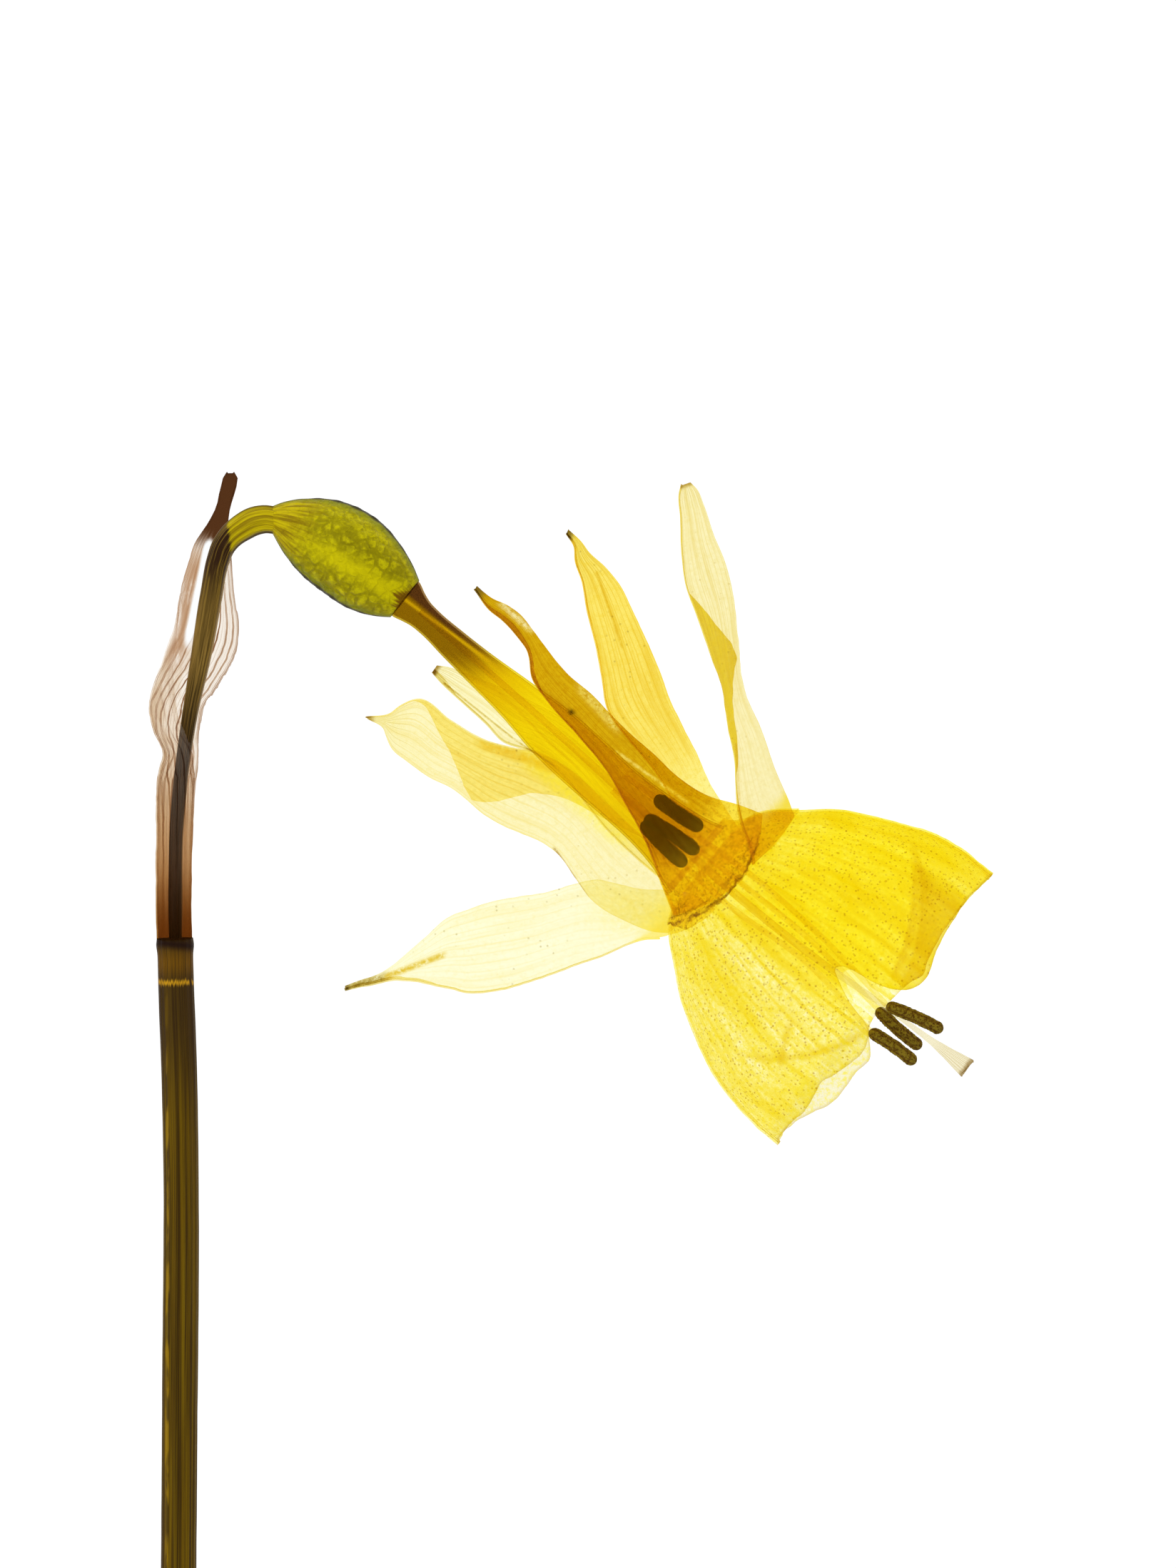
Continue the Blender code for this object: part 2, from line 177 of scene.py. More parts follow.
def add_piece(name, places, finish, node=None, form="solid", wall=0, offset=0,
              numbers=None):
    """Mesh a grid as a solid, a ring or a sheet, give it a wall, and tie it to the frame."""
    mesh = grid_mesh(name, places, form != "sheet", form == "solid")
    for key, grid in (numbers or {}).items():
        layer = mesh.attributes.new(key, "FLOAT", "POINT")
        layer.data.foreach_set("value", np.ascontiguousarray(grid, dtype=np.float32).ravel())
    mesh.materials.append(finish)
    piece = place_object(name, mesh)
    if wall:
        shell = piece.modifiers.new("wall", "SOLIDIFY")
        shell.thickness = wall * MM
        shell.offset = offset
        shell.use_even_offset = False
    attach(piece, "root")
    if node:
        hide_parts(node)
    pieces.append(piece)
    print("made", name, len(mesh.polygons), "faces")


# %% [markdown]
# ## Smooth lines and rings
# A petal's edge or a stem's middle line is drawn through a few given points. The curve is a
# cubic through each pair of points, with the slope at each point taken from its neighbours. The
# bloom has its own axis, from the tube to the mouth of the corona, so a second helper places
# things along, across and above that axis.

# %% Curves and the bloom's axis
RING = np.array((13.2, 16.2, 9.75))          # where tube, petals and corona meet, in mm
AXIS = np.array((0.775, -0.632, 0))
SIDE = np.array((0.632, 0.775, 0))
UP = np.array((0, 0, 1))
FLATNESS = 0.68                              # depth of the pressed bloom against its width


def curve_through(points, samples):
    """Cubic Hermite curve: between two points, their places and slopes are blended."""
    points = np.array(points, dtype=float)
    if points.ndim == 1:
        points = np.column_stack((np.arange(len(points)), points))
        return curve_through(points, samples)[:, 1]
    steps = np.linalg.norm(np.diff(points, axis=0), axis=1)
    knots = np.concatenate(([0], np.cumsum(steps)))
    slopes = np.gradient(points, knots, axis=0)
    at = np.linspace(0, knots[-1], samples)
    span = np.clip(np.searchsorted(knots, at, side="right") - 1, 0, len(knots) - 2)
    width = (knots[span + 1] - knots[span])[:, None]
    u = (at - knots[span])[:, None] / width
    start = (2 * u**3 - 3 * u**2 + 1) * points[span] + (u**3 - 2 * u**2 + u) * width * slopes[span]
    end = (3 * u**2 - 2 * u**3) * points[span + 1] + (u**3 - u**2) * width * slopes[span + 1]
    return start + end


def from_ring(along, across, above):
    """Place measured from the ring: along the bloom's axis, across it and above it."""
    along, across, above = (np.asarray(value, dtype=float)[..., None]
                            for value in (along, across, above))
    return RING + along * AXIS + across * SIDE + above * UP


def waves(t, seed, count=5, lowest=2):
    """Irregular line between about -1 and 1: sines with whole pitches, so that rings close."""
    phases = np.random.default_rng(seed).uniform(0, TAU, count)
    pitches = np.round(lowest * 1.7 ** np.arange(count))
    total = sum(np.sin(TAU * pitch * t + phase) / (1 + k)
                for k, (pitch, phase) in enumerate(zip(pitches, phases)))
    return total / 2


print("the mouth of the corona is near", from_ring(17, 0, 0))

# %% [markdown]
# ## Writing shaders as sums
# A material is a graph of nodes, and maths in it is easier to read as a formula. The small class
# below wraps one output of a node. Adding, taking away or multiplying two of them puts the Math
# node in. The Paint class starts a material, and its node method makes any other node. Streaks
# and veins follow the piece lengthwise, and a coat lays one more colour over those before it.

# %% Sockets and paint
class Value:
    """One output of a node, on which arithmetic adds Math nodes."""

    def __init__(self, paint, socket):
        self.paint, self.socket = paint, socket

    def math(self, operation, *others):
        values = dict(enumerate((self, *others)))
        return self.paint.node("ShaderNodeMath", {"operation": operation}, values)

    def __add__(self, other):
        return self.math("ADD", other)

    def __sub__(self, other):
        return self.math("SUBTRACT", other)

    def __rsub__(self, other):
        return self.paint.node("ShaderNodeMath", {"operation": "SUBTRACT"}, {0: other, 1: self})

    def __mul__(self, other):
        return self.math("MULTIPLY", other)

    __radd__ = __add__
    __rmul__ = __mul__

    def bent(self, noise, reach):
        """The same, moved up or down by half of reach at the most, by a noise of 0 to 1."""
        return self + (noise - 0.5) * reach

    def past(self, low, high):
        """0 below low, 1 above high, with a soft step between; low may be the larger."""
        if low > high:
            return 1 - self.past(high, low)
        ends = {"Value": self, "From Min": low, "From Max": high}
        return self.paint.node("ShaderNodeMapRange", {"interpolation_type": "SMOOTHSTEP"}, ends)

    def size(self):
        return self.math("ABSOLUTE")

    def near(self, place, reach):
        """1 at a place and 0 beyond its reach."""
        return (self - place).size().past(reach, 0)


class Paint:
    """A material under construction.

    It knows its piece's own place, across and along, each 0 to 1, and the place in the flower's
    frame, x, y and z in mm, which is also there as one vector, spot.
    """

    def __init__(self, name, closed=True):
        self.material = bpy.data.materials.new(name)
        self.material.use_nodes = True
        self.tree = self.material.node_tree
        self.tree.nodes.clear()
        self.closed = closed
        uv = self.node("ShaderNodeUVMap", {"uv_map": "place"})
        self.across, self.along = self.parts(uv)[:2]
        frame_place = self.node("ShaderNodeTexCoord", output=3)
        self.x, self.y, self.z = (part * (1 / MM) for part in self.parts(frame_place))
        self.spot = self.vector(self.x, self.y, self.z)
        self.colour = None

    def node(self, kind, settings=None, inputs=None, output=0):
        """Any node: its type, then its settings, then the values or links of its sockets."""
        made = self.tree.nodes.new(kind)
        for key, value in (settings or {}).items():
            setattr(made, key, value)
        for key, value in (inputs or {}).items():
            if isinstance(value, Value):
                self.tree.links.new(value.socket, made.inputs[key])
            else:
                made.inputs[key].default_value = value
        return Value(self, made.outputs[output])

    def parts(self, vector):
        return [self.node("ShaderNodeSeparateXYZ", inputs={0: vector}, output=k) for k in range(3)]

    def number(self, name):
        """A number that the mesh keeps for each of its places."""
        return self.node("ShaderNodeAttribute", {"attribute_name": name}, output=2)

    def from_axis(self, start, axis):
        """Place along an axis that leaves start and place across it, seen from above."""
        x, y = self.x - float(start[0]), self.y - float(start[1])
        along, across = float(axis[0]), float(axis[1])
        return x * along + y * across, x * -across + y * along

    def vector(self, x, y, z=0):
        return self.node("ShaderNodeCombineXYZ", inputs={0: x, 1: y, 2: z})

    def noise(self, vector, scale=1, detail=3, rough=0.5):
        ends = {"Vector": vector, "Scale": scale, "Detail": detail, "Roughness": rough}
        return self.node("ShaderNodeTexNoise", inputs=ends)

    def cells(self, vector, scale=1, feature="F1", random=1):
        ends = {"Vector": vector, "Scale": scale, "Randomness": random}
        return self.node("ShaderNodeTexVoronoi", {"feature": feature}, ends)

    def blend(self, share, first, second):
        """Colour between two colours, each a node's or three numbers."""
        first, second = (one if isinstance(one, Value) else (*one, 1) for one in (first, second))
        return self.node("ShaderNodeMix", {"data_type": "RGBA"}, {0: share, 6: first, 7: second}, 2)

    def mix(self, share, first, second):
        """Shader between two shaders."""
        return self.node("ShaderNodeMixShader", inputs={0: share, 1: first, 2: second})

    def stroke(self, start, end, reach):
        """1 on the line from one place to another, and 0 beyond its reach to either side."""
        run = float(np.hypot(end[0] - start[0], end[1] - start[1]))
        step_x, step_y = (end[0] - start[0]) / run, (end[1] - start[1]) / run
        from_x, from_y = self.x - start[0], self.y - start[1]
        along = from_x * step_x + from_y * step_y - 0.5 * run
        off = from_y * step_x - from_x * step_y
        inside = along.size().past(0.5 * run + reach, 0.5 * run - reach)
        return off.near(0, reach) * inside

    def skin(self, colour, rough, height, depth):
        """Surface that throws light back, with a height pattern that is depth mm deep."""
        relief = self.node("ShaderNodeBump", inputs={"Height": height, "Strength": 1,
                                                     "Distance": depth * MM})
        ends = {"Base Color": colour if isinstance(colour, Value) else (*colour, 1),
                "Roughness": rough, "Specular IOR Level": 0.04, "Normal": relief}
        return self.node("ShaderNodeBsdfPrincipled", inputs=ends)

    def finish(self, shader):
        output = self.tree.nodes.new("ShaderNodeOutputMaterial")
        self.tree.links.new(shader.socket, output.inputs["Surface"])
        return self.material

    def coat(self, share, *colour):
        """Lay a colour over the piece's colour so far: a node's, or red, green, blue to be seen."""
        top = colour[0] if isinstance(colour[0], Value) else lit(*colour)
        self.colour = self.blend(share, self.colour, top)

    def opaque(self, rough, height, depth):
        """Finish a piece through which no light comes."""
        return self.finish(self.skin(self.colour, rough, height, depth))

    def lengthwise(self, count, stretch, seed):
        """Place for a pattern: count steps across, and on a closed ring a circle of that length."""
        if not self.closed:
            return self.vector(self.across * count, self.along * stretch, seed)
        turn, reach = self.across * TAU, count / TAU
        return self.vector(turn.math("COSINE") * reach, turn.math("SINE") * reach,
                           self.along * stretch + seed)

    def streaks(self, count, stretch, seed=0):
        """Long fine streaks: noise stretched far along the piece."""
        return self.noise(self.lengthwise(count, stretch, seed), 1, 4, 0.6)

    def veins(self, count, width, wobble, seed=0):
        """Thin lines along the piece, count of them, each width of a step wide, bent by noise."""
        bend = self.noise(self.lengthwise(5, 6, seed), 1, 3) - 0.5
        step = (self.across * count + bend * wobble).math("FRACT")
        return (step - 0.5).size().past(width, width * 0.3)

    def sides(self):
        """1 on the line that faces up or down on a round piece, and 0 on its two sides."""
        return (self.across * TAU).math("COSINE").size()


def srgb(red, green, blue):
    """Linear colour of a screen colour given as 0 to 255."""
    share = np.array((red, green, blue)) / 255
    linear = np.where(share <= 0.04045, share / 12.92, ((share + 0.055) / 1.055) ** 2.4)
    return tuple(float(one) for one in linear)


print("shader tools ready")

# %% [markdown]
# ## Colours, as they will be seen
# Two kinds of surface need two kinds of colour. An opaque one throws back a share of the room's
# light, so it has to be a little lighter than the colour that it should show. A blade filters
# the light of the sheet below, and where a few of them lie over each other their tints multiply.
# So the tint of one blade is a root of the colour that the stack should show.

# %% Colours for opaque surfaces and for blades
ROOM_LIGHT = 0.72                            # what a white surface that faces up shows here


def lit(red, green, blue):
    """Colour that an opaque surface needs to look like this screen colour in this room."""
    return tuple(min(one / ROOM_LIGHT, 0.95) for one in srgb(red, green, blue))


def seen(red, green, blue, blades=1):
    """Tint of one blade, when so many of them show this screen colour over the white sheet."""
    return tuple(one ** (1 / blades) for one in srgb(red, green, blue))


print("leaf brown as paint:", [round(one, 2) for one in lit(98, 72, 7)])

# %% [markdown]
# ## Blades that let light through
# A petal works like stained glass. White light goes in below and leaves above with some of its
# blue taken out, and where two petals cross it is taken out twice. A tinted Transparent shader
# does exactly that. A blade here has two faces, so each face gets the square root of the tint.
# A small share of the light is scattered by a Translucent shader of the same tint, and a thin
# Principled skin adds some gloss. Veins and streaks choose between such films through the
# factor of a Mix Shader, and later ones lie over earlier ones. Where the grain is not 0, small
# blots of a darker film lie over them all.

# %% The blade shader
SCATTER = 0.03                               # share of the light that one face scatters
SKIN = 0.03                                  # share of a face that is skin


def blade(paint, tints, masks, height, depth, scatter=SCATTER, rough=0.5, grainy=0):
    """Blade whose first tint gives way to each further tint where that tint's mask is 1."""
    tints = [seen(*tint) for tint in tints]

    def film(tint):
        face = (*(np.array(tint) ** 0.5), 1)
        clear = paint.node("ShaderNodeBsdfTransparent", inputs={"Color": face})
        cloudy = paint.node("ShaderNodeBsdfTranslucent", inputs={"Color": face})
        return paint.mix(scatter, clear, cloudy)

    light, colour = film(tints[0]), tints[0]
    for tint, mask in zip(tints[1:], masks):
        light = paint.mix(mask, light, film(tint))
        colour = paint.blend(mask, colour, tint)
    if grainy:
        speck = paint.noise(paint.spot, 2.3, 3, 0.8).past(0.46, 0.64)
        light = paint.mix(speck * grainy, light, film(tuple(np.array(tints[0]) ** 1.8 * 0.94)))
    return paint.finish(paint.mix(SKIN, light, paint.skin(colour, rough, height, depth)))


print("blade shader ready")

# %% [markdown]
# ## The stem
# A daffodil's stem is a smooth pipe with shallow ribs. Here a circle whose radius swells a
# little at each rib is carried along the middle line. At its top it ends in a dark, slightly
# swollen band where the papery sheath grows from it. The far end is a plain cut.

# %% Model the stem
def pipe(path, radii, sides, ribs=0, rib_height=0, turn=-0.25):
    """Rings on a path: radius times (1 + rib height x cosine of ribs x angle), in mm."""
    path, radii = np.asarray(path), np.asarray(radii)
    run = np.gradient(path, axis=0)
    run /= np.linalg.norm(run, axis=1)[:, None]
    across = np.cross(run, UP)
    across /= np.linalg.norm(across, axis=1)[:, None]
    above = np.cross(across, run)
    angle = TAU * (np.arange(sides) / sides + turn)
    swell = 1 + rib_height * np.cos(ribs * angle)
    round_it = np.cos(angle)[:, None] * across[:, None] - np.sin(angle)[:, None] * above[:, None]
    return path[:, None] + (radii[:, None] * swell)[..., None] * round_it


def outward(places):
    """The same closed grid, turned over if its faces would point inwards."""
    return places if volume(places) > 0 else places[:, ::-1]


STEM_PATH = [(-33.2, -50.5, 1.52), (-33.05, -30, 1.5), (-32.95, -8, 1.5), (-33.1, 0, 1.55),
    (-33.35, 7, 1.6), (-33.45, 11, 1.66)]
STEM_RIBS = 14
stem_rows = 240
stem_path = curve_through(STEM_PATH, stem_rows)
stem_along = stem_path[:, 1]
node_band = np.exp(-((stem_along - 10.4) / 0.55) ** 2)
stem_radii = 1.49 + 0.02 * waves(stem_along / 60, 3) + 0.09 * node_band
stem_places = outward(pipe(stem_path, stem_radii, 84, STEM_RIBS, 0.018))
print("stem length", round(float(np.ptp(stem_along)), 1), "mm")

# %% [markdown]
# Light hardly gets through the stem, so it looks dark brown and olive, with long fine streaks.
# One brighter streak runs near its left side, and there is a golden glow under the dark band.
# The cut end shows the pale pith.

# %% Finish and place the stem
def stem_finish():
    paint = Paint("stem_skin")
    x, y = paint.x, paint.y
    fine = paint.streaks(110, 3)
    broad = paint.streaks(24, 1.5, 4)
    paint.colour = paint.blend(broad.past(0.38, 0.62), lit(58, 40, 8), lit(98, 74, 6))
    paint.coat(fine.past(0.48, 0.72) * 0.7, 128, 104, 14)
    paint.coat(fine.past(0.46, 0.3) * 0.7, 48, 32, 12)
    left = (x + 34.05 + (broad - 0.5) * 0.6).near(0, 0.24)
    ragged = paint.noise(paint.vector(x * 2, y * 0.3), 1, 3).past(0.42, 0.6)
    paint.coat(left * ragged * 0.8, 150, 116, 6)
    paint.coat(y.bent(fine, 9).past(-6, 5.5) * 0.7, 50, 33, 16)
    golden = y.bent(fine, 1.6).near(9, 1.9) * fine.past(0.35, 0.55)
    paint.coat(golden * 0.85, 112, 76, 10)
    line = y.bent(fine, 1.4).near(7.25, 0.3) * broad.past(0.3, 0.45)
    paint.coat(line, 190, 140, 24)
    paint.coat((y + x * 0.1 + 3.3).near(10.45, 0.75), 34, 18, 10)
    # Darker on its two sides, where the outline is seen from above: painted shade.
    paint.coat(paint.sides().past(0.35, 0) * 0.5, 40, 26, 10)
    cut_end = (y + 50.42).past(0.02, -0.02)
    paint.coat(cut_end, 190, 190, 130)
    return paint.opaque(0.5, fine, 0.12)


add_piece("ribbed_stem", stem_places, stem_finish(), "stem")

# %% [markdown]
# ## The papery sheath
# Before it opened, the flower sat in a sheath. Now the sheath is dry brown paper round the stalk,
# split down one side, with a dark tail. Each section is part of an oval: it starts at the upper
# margin, runs round under the stalk and ends short of closing, so the split stays open. The
# table holds, for places along Y, the left and right border, the height of the middle, the
# half depth, and the angle at which the upper wall ends.

# %% Model the sheath
SHEATH = [(10.9, -34.95, -31.95, 1.75, 1.5, 15), (15, -35, -32, 1.85, 1.5, 15),
    (20, -34.97, -31.85, 2, 1.6, 15), (23, -34.93, -31.7, 2.2, 1.8, 20),
    (25, -34.8, -31.45, 2.3, 1.9, 34), (26.6, -34.35, -31.35, 2.4, 2, 48),
    (28.5, -35.15, -31.3, 2.5, 2.1, 68), (30.5, -35.5, -30.85, 2.8, 2.3, 88),
    (32.5, -35.15, -29.6, 3, 2.4, 110), (35, -34.2, -28.15, 3.2, 2.4, 136),
    (38, -33.2, -27.85, 3.7, 2.3, 158), (40, -32.85, -28.15, 4, 2, 168),
    (43, -32.05, -28.45, 4.3, 1.4, 178), (44.5, -31.5, -28.6, 4.6, 0.9, 180),
    (46, -30.5, -28.75, 4.8, 0.5, 182), (47.5, -29.7, -28.55, 4.8, 0.4, 182),
    (49, -29.35, -28.1, 4.8, 0.4, 182), (49.8, -29.15, -27.95, 4.8, 0.42, 182),
    (50.15, -29.08, -28, 4.8, 0.36, 182), (50.36, -28.85, -28.25, 4.8, 0.2, 182)]
SHEATH_END = np.radians(340)
sheath_rows, sheath_columns = 260, 90
sections = curve_through(SHEATH, sheath_rows)
sheath_y, sheath_left, sheath_right, sheath_mid, sheath_deep, sheath_open = sections.T
share = np.linspace(0, 1, sheath_columns)[None, :]
sheath_open = np.radians(sheath_open)[:, None]
sheath_angle = sheath_open + share * (SHEATH_END - sheath_open)
margin = waves(np.linspace(0, 3, sheath_rows), 8)[:, None] * (2 * share - 1) ** 8
crumple = 0.06 * waves(sheath_y / 9, 5)[:, None] * np.cos(3 * sheath_angle)
crumple = crumple + 0.03 * np.cos(11 * sheath_angle + waves(sheath_y / 14, 6)[:, None])
sheath_half = (sheath_right - sheath_left)[:, None] / 2 + crumple
sheath_x = (sheath_left + sheath_right)[:, None] / 2 + sheath_half * np.cos(sheath_angle)
sheath_z = sheath_mid[:, None] + (sheath_deep[:, None] + crumple) * np.sin(sheath_angle)
sheath_places = np.stack((sheath_x, sheath_y[:, None] + 0.25 * margin, sheath_z + 0.12), axis=-1)
print("sheath", sheath_places.shape)


# %% Finish and place the sheath
NEARLY_CLEAR = (251.607, 253.876, 255)       # where the split leaves hardly any paper


def sheath_finish():
    paint = Paint("dry_paper", closed=False)
    across, x, y = paint.across, paint.x, paint.y
    lines = paint.veins(13, 0.11, 1.3)
    thin = paint.veins(31, 0.1, 1.6, 5)
    mottle = paint.noise(paint.vector(x, y * 0.35, paint.z), 0.8, 4, 0.6)
    fine = paint.streaks(60, 9)
    edges = (across - 0.5).size().past(0.465, 0.5)
    browner = (mottle + x * -0.045 - 1.42).past(0.46, 0.8)
    worn = y.bent(mottle, 14).past(27, 17) * 0.7
    foot = y.bent(fine, 9).past(18.5, 11)
    tail = (y + x * 0.5 + 14.8 + (fine - 0.5) * 4).past(42.6, 45.2)
    middle = -31.45 + (y - 40).math("MAXIMUM", -4) * 0.235
    slit = (x - middle + (fine - 0.5) * 0.3).near(0, 0.75)
    slit = slit * y.past(34.5, 37.5) * y.past(45.4, 44)
    upper = paint.stroke((-33.6, 34.5), (-31.2, 43.5), 1.5) * mottle.past(0.3, 0.5)
    right = paint.stroke((-31.2, 28.3), (-29.5, 32), 0.55)
    over = across.past(0.34, 0.24) * y.past(26, 29) * y.past(40, 36)
    tints = [(245, 237, 226), (216, 190, 156), (128, 82, 46), (206, 172, 130), (158, 112, 58),
             (178, 132, 92), (250, 244, 236), (84, 50, 26), NEARLY_CLEAR]
    masks = [browner * 0.7, lines * 0.9 + edges * 0.6 + thin * 0.35, worn, foot,
             upper * 0.8 + right * 0.6, over * 0.85, tail, slit.past(0.1, 0.7)]
    return blade(paint, tints, masks, lines + fine * 0.5, 0.08, rough=0.6)


add_piece("papery_sheath", sheath_places, sheath_finish(), "spathe", "sheet", 0.12)

# %% [markdown]
# ## Stalk, ovary and tube
# These three follow each other from the sheath to the bloom. The stalk is a thin pipe. The ovary
# is a body between two outlines seen from above: each ring is an oval that reaches from one to
# the other. It swells over three seed chambers, and rows of seeds press against its skin from
# inside. The tube is a row of rings along its own straight axis.

# %% A body between two outlines
def between(first, second, heights, rows, sides, flat, relief):
    """Ovals from one outline to the other; depth is width times flat, plus a relief in mm."""
    t = np.linspace(0, 1, rows)
    first, second = curve_through(first, rows), curve_through(second, rows)
    level = np.interp(t, np.linspace(0, 1, len(heights)), heights)
    middle = np.column_stack(((first + second) / 2, level))
    half = np.column_stack(((first - second) / 2, np.zeros(rows)))
    radius = np.linalg.norm(half, axis=1)[:, None]
    angle = TAU * (np.arange(sides) / sides - 0.25)[None, :]
    grow = 1 + relief(t[:, None], angle) / radius
    ring = np.cos(angle)[..., None] * half[:, None]
    ring = ring + (radius * flat * np.sin(angle))[..., None] * UP
    return middle[:, None] + grow[..., None] * ring


# %% Model and place the stalk
STALK = [(-33.4, 11, 1.75), (-33.4, 15, 1.9), (-33.3, 20, 2.1), (-32.85, 25, 2.4), (-32.1, 30, 2.9),
    (-31.1, 35, 3.7), (-30.2, 40, 4.7), (-29.55, 43, 5.7), (-29.05, 44.2, 6.2), (-28.35, 45.05, 6.5),
    (-27.4, 45.75, 6.8), (-26.4, 46.25, 7), (-25.4, 46.4, 7.1), (-24.7, 46.3, 7.2), (-23.9, 46.1, 7.4)]
STALK_RADII = [0.55, 0.6, 0.58, 0.58, 0.6, 0.6, 0.62, 0.68, 0.8, 0.9, 0.94, 0.94, 1.02, 1.2, 1.1]
stalk_path = curve_through(STALK, 160)
stalk_radii = curve_through(STALK_RADII, 160)
stalk_places = outward(pipe(stalk_path, stalk_radii, 48, 9, 0.03))


def stalk_finish():
    paint = Paint("stalk_skin")
    x, y = paint.x, paint.y
    fine = paint.streaks(40, 7)
    sides = paint.sides()
    paint.colour = paint.blend(fine.past(0.35, 0.65), lit(128, 106, 4), lit(186, 168, 6))
    # Dark on its two sides, where the outline is seen from above: painted shade.
    paint.coat(sides.past(0.72, 0.22) * 0.95, 58, 40, 14)
    dull = paint.blend(fine.past(0.35, 0.65), lit(86, 66, 24), lit(134, 106, 48))
    low = paint.blend(fine.past(0.4, 0.65), lit(28, 18, 8), lit(62, 42, 16))
    dull = paint.blend(y.bent(fine, 10).past(38, 25), dull, low)
    top = paint.blend(fine.past(0.45, 0.6), lit(44, 26, 12), lit(110, 86, 30))
    dull = paint.blend(y.bent(fine, 9).past(37.5, 42.5), dull, top)
    # Here its two sides are paler instead: painted light at the outline seen from above.
    dull = paint.blend(sides.past(0.55, 0.1) * 0.6, dull, lit(170, 146, 112))
    paint.coat((x + y * 0.12 + (fine - 0.5) * 0.8).past(-22.95, -23.3), dull)
    return paint.opaque(0.45, fine, 0.08)


add_piece("flower_stalk", stalk_places, stalk_finish(), "pedicel")

# %% Model and place the ovary
OVARY_TOP = [(-24.85, 47.5), (-24.2, 47.75), (-21.6, 48.13), (-19.6, 47.98), (-17.5, 47.24),
    (-15.87, 46.2), (-14, 44.1), (-13, 42.4), (-12.5, 41.2)]
OVARY_LOW = [(-24.85, 45.1), (-24.05, 43.7), (-22.57, 41.84), (-20.5, 40.17), (-18.66, 38.96),
    (-16.8, 38.3), (-15.8, 38.15), (-14.94, 38.1)]
OVARY_LEVELS = [7.1, 7.4, 7.6, 7.8, 8, 8.1, 8.2, 8.2]


def seed_bumps(t, angle):
    """Three chambers as a cosine of three times the angle, and rows of seeds as fine bumps."""
    chambers = 0.05 * np.cos(3 * (angle - TAU / 4))
    rows_of_seeds = np.sin(TAU * 9 * t) * np.cos(12 * angle)
    body = np.sin(np.pi * t) ** 2
    return body * (3 * chambers + 0.05 * rows_of_seeds)


ovary_places = outward(between(OVARY_TOP, OVARY_LOW, OVARY_LEVELS, 110, 120, 0.96, seed_bumps))


def ovary_finish():
    paint = Paint("ovary_skin")
    spot = paint.spot
    run, off = paint.from_axis((-24.8, 46.3), (0.854, -0.52))
    bend = paint.noise(spot, 0.5, 3) - 0.5
    cell = paint.vector(run * 1.15 + bend, off * 1.25 + bend)
    net = paint.cells(cell, 1, "DISTANCE_TO_EDGE", 0.75).past(0.2, 0.02)
    hearts = paint.cells(cell, 1, "F1", 0.75).past(0.42, 0.1)
    grain = paint.noise(spot, 2.6, 5, 0.7)
    rows = ((off - 1.75).near(0, 2.1) + (off + 2.1).near(0, 2.3)) * run.past(1.6, 3.4)
    rows = rows * run.past(13.2, 11.6)
    paint.colour = paint.blend(grain.past(0.35, 0.65), lit(140, 130, 2), lit(182, 172, 3))
    band = (off + 0.1 + bend * 2).near(0, 1.5) * run.past(1, 8)
    paint.coat(band * 0.7, 202, 190, 2)
    paint.coat(rows * hearts * 0.5, 192, 186, 6)
    paint.coat(rows * net * grain.past(0.25, 0.5) * 0.6, 104, 94, 2)
    paint.coat(paint.noise(spot, 0.9, 4, 0.65).past(0.5, 0.62) * rows * 0.45, 106, 96, 4)
    lines = paint.streaks(60, 5)
    neck = paint.blend(lines.past(0.35, 0.65), lit(128, 106, 4), lit(186, 168, 6))
    paint.coat(run.bent(lines, 5).past(4.5, 0.8), neck)
    sides = paint.sides()
    # Green shade on its two sides and a dark line at the outline seen from above: painted shade.
    paint.coat(sides.past(0.62, 0.34) * 0.6, 98, 106, 2)
    paint.coat(sides.past(0.3, 0.12), 46, 40, 12)
    brown_end = (run + (lines - 0.5) * 2.5 + off.size() * -0.75).past(11.7, 12.5)
    paint.coat(brown_end, 112, 78, 4)
    return paint.opaque(0.5, net * -0.5 + grain * 0.5, 0.12)


add_piece("seeded_ovary", ovary_places, ovary_finish(), "ovary")

# %% Model and place the tube
tube_rows, tube_sides = 150, 96
TUBE_START = np.array((-13.3, 39.4, 8.2))    # where the tube leaves the ovary
TUBE_AXIS = np.array((0.7517, -0.6606, 0.045))
# Place along the tube in mm, its radius, and how far its middle lies to the upper side.
TUBE = [(-1, 1.8, 0), (-0.4, 1.8, -0.05), (0.5, 1.5, -0.13), (1.3, 1.28, -0.17), (2.4, 1.2, -0.2),
    (5, 1.33, -0.28), (8, 1.52, -0.3), (12, 1.86, -0.25), (16.3, 2.34, -0.36), (20, 2.42, -0.42),
    (24, 2.36, -0.46), (27.5, 2.56, -0.36), (30, 2.93, -0.37), (31.8, 3.42, -0.4), (32.4, 3.6, -0.35)]
tube_run, tube_radii, tube_off = curve_through(TUBE, tube_rows).T[:, :, None]
tube_angle = TAU * (np.arange(tube_sides) / tube_sides - 0.25)[None, :]
tube_radii = tube_radii * (1 + 0.012 * np.cos(18 * tube_angle))
tube_flat = 1 - (1 - FLATNESS) * (tube_run / TUBE[-1][0]) ** 4
tube_middle = TUBE_START + tube_run * TUBE_AXIS + tube_off * SIDE
tube_places = (tube_middle[:, None] + (tube_radii * np.cos(tube_angle))[..., None] * SIDE
               + (tube_radii * tube_flat * np.sin(tube_angle))[..., None] * UP)
tube_places = outward(tube_places)


